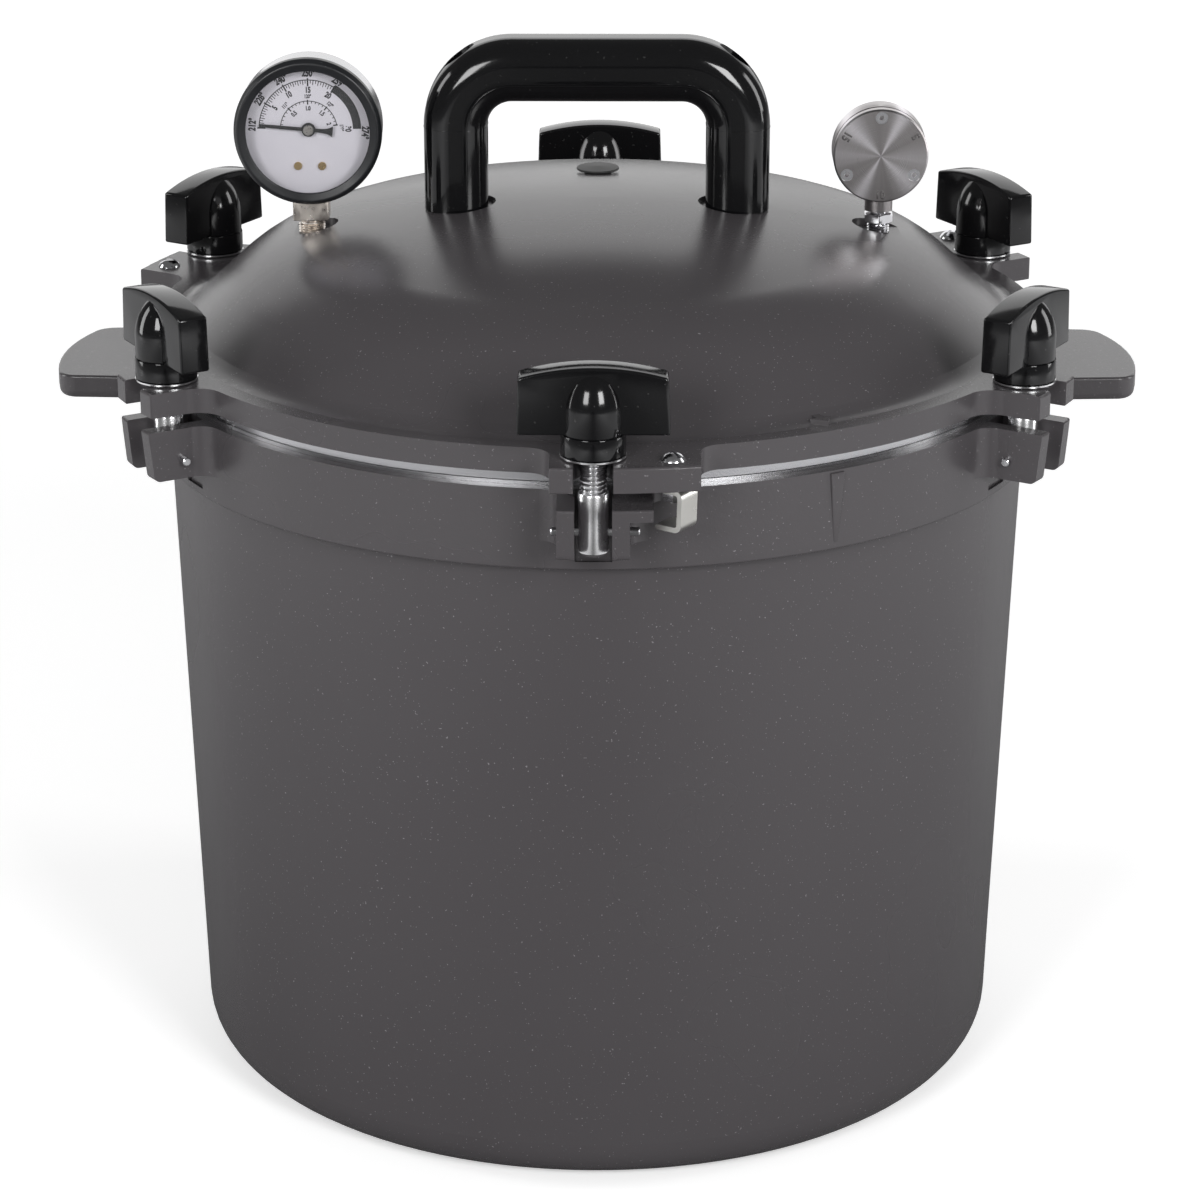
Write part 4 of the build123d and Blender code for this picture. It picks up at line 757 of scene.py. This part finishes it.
tree.links.new(sums(tree, "MULTIPLY", spoke, 0.6), rings_place.inputs["Y"])
rings = noise(tree, rings_place.outputs[0], 1.0, 2.0)
shade = sums(tree, "MULTIPLY", painted_sheen, 0.30)
for wedge_angle, sharpness, brightness in PAINTED_HIGHLIGHT_WEDGES:
    wedge = sums(tree, "COSINE", sums(tree, "SUBTRACT", spoke, radians(wedge_angle)))
    wedge = sums(tree, "POWER", sums(tree, "ABSOLUTE", wedge), sharpness)
    shade = sums(tree, "ADD", shade, sums(tree, "MULTIPLY", wedge, brightness))
# The painted highlights and painted shade set the face's colour, between dark and bright steel.
tree.links.new(
    mix_colour(tree, shade, (0.30, 0.28, 0.275), (0.98, 0.95, 0.98)),
    tree.nodes["Principled BSDF"].inputs["Base Color"],
)
tree.links.new(remap(tree, rings, 0.3, 0.7, 0.26, 0.38), tree.nodes["Principled BSDF"].inputs["Roughness"])
bump(weight_steel, rings, 0.10, 0.05 * MM)
finish_with(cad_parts["regulator_weight"], weight_steel)
finish_with(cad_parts["weight_plugs"], plated_steel)
ON_WEIGHT = Matrix.Translation(WEIGHT_MIDDLE) @ Matrix.Rotation(pi / 2, 4, "X")
# The stamped figures are thin dark sheets on the face. Their darkness is painted shade, standing in for the
# shade inside the stamped recesses, mottled at random.
painted_stamp_shade = shader("painted_stamp_shade", (0.08, 0.08, 0.08), 0.5)
tree = painted_stamp_shade.node_tree
shade_mottle = use_group(tree, grain, Fine=5000.0, Coarse=1200.0, Coarse_Share=0.5, Drift=900.0)
tree.links.new(
    mix_colour(tree, shade_mottle.outputs["Tone"], (0.05, 0.05, 0.05), (0.16, 0.15, 0.15)),
    tree.nodes["Principled BSDF"].inputs["Base Color"],
)
# Each figure is a thin sheet of painted shade laid on the face.
for words, angle in (("15", 150.0), ("5", 30.0), ("10", -90.0)):
    stamp = figure(words, 2.9 * MM, 14.9 * MM, angle, 0.85, 90.0)
    stamp.name = stamp.data.name = "weight_figure_" + words
    only(stamp)
    depth = stamp.modifiers.new("depth", "SOLIDIFY")
    depth.thickness = 0.08 * MM
    depth.offset = 0.0
    bpy.ops.object.modifier_apply(modifier=depth.name)
    move_mesh(stamp, ON_WEIGHT)
    finish_with(stamp, painted_stamp_shade)
    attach(stamp, "weight")

# ---------------------------------------------------------------- overpressure plug
# A moulded black rubber plug pushed through the dome, which blows out if the vent is blocked.
black_rubber = shader("black_rubber", (0.010, 0.010, 0.010), 0.48)
tree = black_rubber.node_tree
bloom = use_group(tree, grain, Fine=1500.0, Coarse=300.0, Coarse_Share=0.6, Drift=250.0)
tree.links.new(
    mix_colour(tree, bloom.outputs["Tone"], (0.007, 0.007, 0.007), (0.020, 0.020, 0.020)),
    tree.nodes["Principled BSDF"].inputs["Base Color"],
)
bump(black_rubber, bloom.outputs["Height"], 0.15, 0.1 * MM)
finish_with(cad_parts["overpressure_plug"], black_rubber)

# ---------------------------------------------------------------- hooks
# Bent strips of zinc-plated steel, screwed under every other lug, that catch below the pot's
# ledges while the lid still holds pressure; slotted round-head screws and hexagon nuts.
zinc_strap = metal("zinc_strap", (0.78, 0.77, 0.73), 0.24, 0.42, 700.0, 90.0, 0.14)
finish_with(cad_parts["lid_hooks"], zinc_strap)
finish_with(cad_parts["hook_screws"], plated_steel)
finish_with(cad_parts["hook_nuts"], plated_steel)

# ---------------------------------------------------------------- swing bolts
# Turned and polished steel: a plain barrel with an eye for the hinge pin, and a rolled 3/8 inch
# thread above it. Each swings out on its pin once the wing nut is slack.
BOLT_CIRCLE = 177.0 * MM
PIN_HEIGHT = 262.4 * MM
BARREL_RADIUS = 5.3 * MM
BARREL_LOW = 254.4 * MM
BARREL_HIGH = 277.0 * MM
THREAD_ROOT = 4.0 * MM
THREAD_CREST = 4.72 * MM
THREAD_PITCH = 1.5875 * MM
BOLT_HIGH = LID_TOP + 28.5 * MM
EYE_RADIUS = 1.65 * MM
CLAMPS = dict(zip(
    ("front", "front_right", "rear_right", "rear", "rear_left", "front_left"), range(-90, 270, 60)
))


def at_clamp(angle):
    """The move from the Z axis to a clamp's bolt, turned to face outwards."""
    return Matrix.Rotation(radians(angle), 4, "Z") @ Matrix.Translation((BOLT_CIRCLE, 0, 0))


def at_each_clamp(pattern, name, body, material, replaced):
    """Copies a finished pattern to the six clamps, each copy with its own mesh."""
    for clamp, angle in CLAMPS.items():
        copy = pattern.copy()
        copy.data = pattern.data.copy()
        copy.name = copy.data.name = f"{name}_{clamp}"
        bpy.context.scene.collection.objects.link(copy)
        move_mesh(copy, at_clamp(angle))
        finish_with(copy, material)
        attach(copy, f"{body}_{clamp}")
        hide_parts(f"{replaced}_{clamp}")
    bpy.data.objects.remove(pattern)


barrel = turned("barrel", [
    (BARREL_RADIUS - 1.3 * MM, BARREL_LOW), (BARREL_RADIUS - 0.9 * MM, BARREL_LOW + 0.25 * MM),
    (BARREL_RADIUS, BARREL_LOW + 1.3 * MM), (BARREL_RADIUS, BARREL_HIGH - 1.1 * MM),
    (BARREL_RADIUS - 0.25 * MM, BARREL_HIGH - 0.5 * MM), (THREAD_ROOT, BARREL_HIGH),
    (THREAD_ROOT, BOLT_HIGH - 0.8 * MM), (THREAD_ROOT - 0.8 * MM, BOLT_HIGH),
])
eye_cutter = turned("eye_cutter", [(EYE_RADIUS, -10 * MM), (EYE_RADIUS, 10 * MM)], 32)
move_mesh(eye_cutter, Matrix.Translation((0, 0, PIN_HEIGHT)) @ Matrix.Rotation(pi / 2, 4, "X"))
combine(barrel, eye_cutter, "DIFFERENCE")
bolt_thread = thread(
    "bolt_thread", THREAD_ROOT, THREAD_CREST, BARREL_HIGH - 1 * MM, BOLT_HIGH - 0.6 * MM, THREAD_PITCH
)
bolt = join("bolt", [barrel, bolt_thread])
smooth(bolt, 30.0)
polished_steel = metal("polished_steel", (0.95, 0.95, 0.96), 0.20, 0.28, 1200.0, 150.0, 0.06)
at_each_clamp(bolt, "bolt", "bolt", polished_steel, "swing_bolt")

# ---------------------------------------------------------------- washers and threaded inserts
# A bright steel washer under each nut, and a brass insert moulded into the nut for the thread.
for clamp in CLAMPS:
    finish_with(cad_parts[f"seat_washer_{clamp}"], polished_steel)
    finish_with(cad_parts[f"nut_insert_{clamp}"], brass)

# ---------------------------------------------------------------- wing nuts
# Glossy black phenolic mouldings: a flat wing with an arched top across a round hub that ends in
# a pointed arch, above a slightly wider collar.
WING_LENGTH = 51.9 * MM
WING_NARROWING = 0.967
WING_THICKNESS = 11.0 * MM
WING_LOW = LID_TOP + 9.0 * MM
WING_SIDE_HIGH = LID_TOP + 28.6 * MM
NUT_HIGH = LID_TOP + 32.4 * MM
WING_SPARE = 2 * MM              # height above the arch that the arch cuts away
COLLAR_RADIUS = 11.1 * MM
COLLAR_LOW = LID_TOP + 1.35 * MM
HUB = 10.8 * MM
INSERT_BORE = 6.85 * MM
INSERT_HIGH = LID_TOP + 25.15 * MM
BOLT_BORE = 5.05 * MM            # above the insert, clear of the bolt
BOLT_BORE_HIGH = LID_TOP + 29.0 * MM
arch_rise = NUT_HIGH - WING_SIDE_HIGH
arch_radius = ((WING_LENGTH / 2) ** 2 + arch_rise ** 2) / (2 * arch_rise)

wing = block(
    "wing",
    (WING_THICKNESS, WING_LENGTH, NUT_HIGH - WING_LOW + WING_SPARE),
    (0, 0, (WING_LOW + NUT_HIGH + WING_SPARE) / 2),
)
bpy.ops.object.mode_set(mode="EDIT")
pick(lambda face: face.normal.z > 0.5)
bpy.ops.transform.resize(value=(0.97, WING_NARROWING, 1.0), center_override=(0, 0, NUT_HIGH))
bpy.ops.object.mode_set(mode="OBJECT")
arch = turned("arch", [(arch_radius, -20 * MM), (arch_radius, 20 * MM)], 256)
move_mesh(arch, Matrix.Translation((0, 0, NUT_HIGH - arch_radius)) @ Matrix.Rotation(pi / 2, 4, "Y"))
combine(wing, arch, "INTERSECT")
soften(wing, 0.9 * MM, 4, 25.0)
hub = turned("hub", [
    (COLLAR_RADIUS - 0.4 * MM, COLLAR_LOW), (COLLAR_RADIUS, COLLAR_LOW + 0.4 * MM),
    (COLLAR_RADIUS, WING_LOW - 0.6 * MM), (COLLAR_RADIUS - 0.1 * MM, WING_LOW - 0.3 * MM),
    (HUB - 0.25 * MM, WING_LOW - 0.2 * MM),
    (HUB - 0.1 * MM, WING_LOW), (HUB, WING_LOW + 0.4 * MM), (HUB, LID_TOP + 17.5 * MM),
    (HUB - 0.15 * MM, LID_TOP + 19 * MM), (HUB - 0.5 * MM, LID_TOP + 21 * MM),
    (HUB - 1.1 * MM, LID_TOP + 23 * MM), (HUB - 1.9 * MM, LID_TOP + 25 * MM),
    (HUB - 3.0 * MM, LID_TOP + 27 * MM), (HUB - 4.4 * MM, LID_TOP + 28.8 * MM),
    (HUB - 5.9 * MM, LID_TOP + 30.2 * MM), (HUB - 8.0 * MM, LID_TOP + 31.1 * MM),
    (0.4 * MM, LID_TOP + 31.5 * MM),
])
combine(wing, hub, "UNION")
bore = turned("bore", [
    (INSERT_BORE, LID_TOP), (INSERT_BORE, INSERT_HIGH), (BOLT_BORE, INSERT_HIGH), (BOLT_BORE, BOLT_BORE_HIGH),
])
combine(wing, bore, "DIFFERENCE")
smooth(wing, 28.0)
at_each_clamp(wing, "wing_nut_moulding", "wing", black_phenolic, "wing_nut")

# ---------------------------------------------------------------- studio
# A sheet of white paper, two softboxes in front, a lit sweep behind and a strip at each side. In
# reflections the paper is dark before the camera and lit at the sides, and the room is darker.
# The camera stands a metre and a half in front and looks down by twenty degrees.
PAPER_SEEN = (0.92, 0.92, 0.92)
PAPER_REFLECTED_MIDDLE = (0.12, 0.12, 0.12)
PAPER_REFLECTED_SIDES = (0.75, 0.75, 0.76)
PAPER_MIDDLE = 0.05              # metres to each side where the reflected paper starts to brighten
PAPER_SIDES = 0.75
PAPER_GLOW = 0.42                # the paper's own light, to the camera only
ROOM_LIGHT = 0.20
ROOM_REFLECTED = 0.12
SWEEP_TARGET = (0.0, 0.0, 0.4)
SOFTBOX_TARGET = (0.0, 0.0, 0.2)
STRIP_TARGET = (0.0, 0.0, 0.25)
CAMERA_PLACE = (0.0099, -1.439, 0.697)
CAMERA_TILT = 70.0
CAMERA_TURN = 0.395
LENS_LENGTH = 118.2
LENS_SHIFT = 0.0026

nothing_selected()
bpy.ops.mesh.primitive_plane_add(size=30.0)
paper = bpy.context.object
paper.name = "paper_floor"
white_paper = shader("white_paper", PAPER_SEEN, 0.9)
tree = white_paper.node_tree
tree.nodes["Principled BSDF"].inputs["Specular IOR Level"].default_value = 0.0
seen_by = tree.nodes.new("ShaderNodeLightPath")
paper_axes = tree.nodes.new("ShaderNodeSeparateXYZ")
tree.links.new(tree.nodes.new("ShaderNodeTexCoord").outputs["Object"], paper_axes.inputs[0])
aside = sums(tree, "ABSOLUTE", paper_axes.outputs["X"])
lit_sides = remap(tree, aside, PAPER_MIDDLE, PAPER_SIDES, 0.0, 1.0)
reflected = mix_colour(tree, lit_sides, PAPER_REFLECTED_MIDDLE, PAPER_REFLECTED_SIDES)
tree.links.new(
    mix_colour(tree, seen_by.outputs["Is Glossy Ray"], PAPER_SEEN, reflected),
    tree.nodes["Principled BSDF"].inputs["Base Color"],
)
tree.nodes["Principled BSDF"].inputs["Emission Color"].default_value = (1.0, 1.0, 1.0, 1.0)
tree.links.new(
    sums(tree, "MULTIPLY", seen_by.outputs["Is Camera Ray"], PAPER_GLOW),
    tree.nodes["Principled BSDF"].inputs["Emission Strength"],
)
finish_with(paper, white_paper)


def soft_light(name, place, aim, size, power):
    """A rectangular softbox at a place, facing a point."""
    lamp = bpy.data.lights.new(name, "AREA")
    lamp.shape = "RECTANGLE"
    lamp.size, lamp.size_y = size
    lamp.energy = power
    holder = bpy.data.objects.new(name, lamp)
    bpy.context.scene.collection.objects.link(holder)
    facing = (Vector(aim) - Vector(place)).to_track_quat("-Z", "Y").to_matrix().to_4x4()
    holder.matrix_world = Matrix.Translation(place) @ facing


soft_light("left_softbox", (-1.0, -2.0, 1.15), SOFTBOX_TARGET, (0.7, 0.9), 21.0)
soft_light("right_softbox", (1.1, -1.9, 1.15), SOFTBOX_TARGET, (0.7, 0.9), 27.0)
soft_light("back_sweep", (0.0, 2.4, 1.1), SWEEP_TARGET, (4.5, 1.8), 26.0)
soft_light("left_strip", (-1.7, 0.1, 0.7), STRIP_TARGET, (0.5, 1.2), 9.0)
soft_light("right_strip", (1.7, 0.1, 0.7), STRIP_TARGET, (0.5, 1.2), 9.0)

studio = bpy.data.worlds.new("studio")
bpy.context.scene.world = studio
studio.use_nodes = True
tree = studio.node_tree
seen_by = tree.nodes.new("ShaderNodeLightPath")
tree.nodes["Background"].inputs["Color"].default_value = (1.0, 1.0, 1.0, 1.0)
tree.links.new(
    remap(tree, seen_by.outputs["Is Glossy Ray"], 0.0, 1.0, ROOM_LIGHT, ROOM_REFLECTED),
    tree.nodes["Background"].inputs["Strength"],
)
bpy.context.scene.view_settings.view_transform = "Standard"

lens = bpy.data.cameras.new("camera")
lens.sensor_width = 36.0
lens.lens = LENS_LENGTH
lens.shift_x = LENS_SHIFT
lens.clip_start = 0.05
eye = bpy.data.objects.new("camera", lens)
bpy.context.scene.collection.objects.link(eye)
eye.location = CAMERA_PLACE
eye.rotation_euler = (radians(CAMERA_TILT), 0.0, radians(CAMERA_TURN))
bpy.context.scene.camera = eye
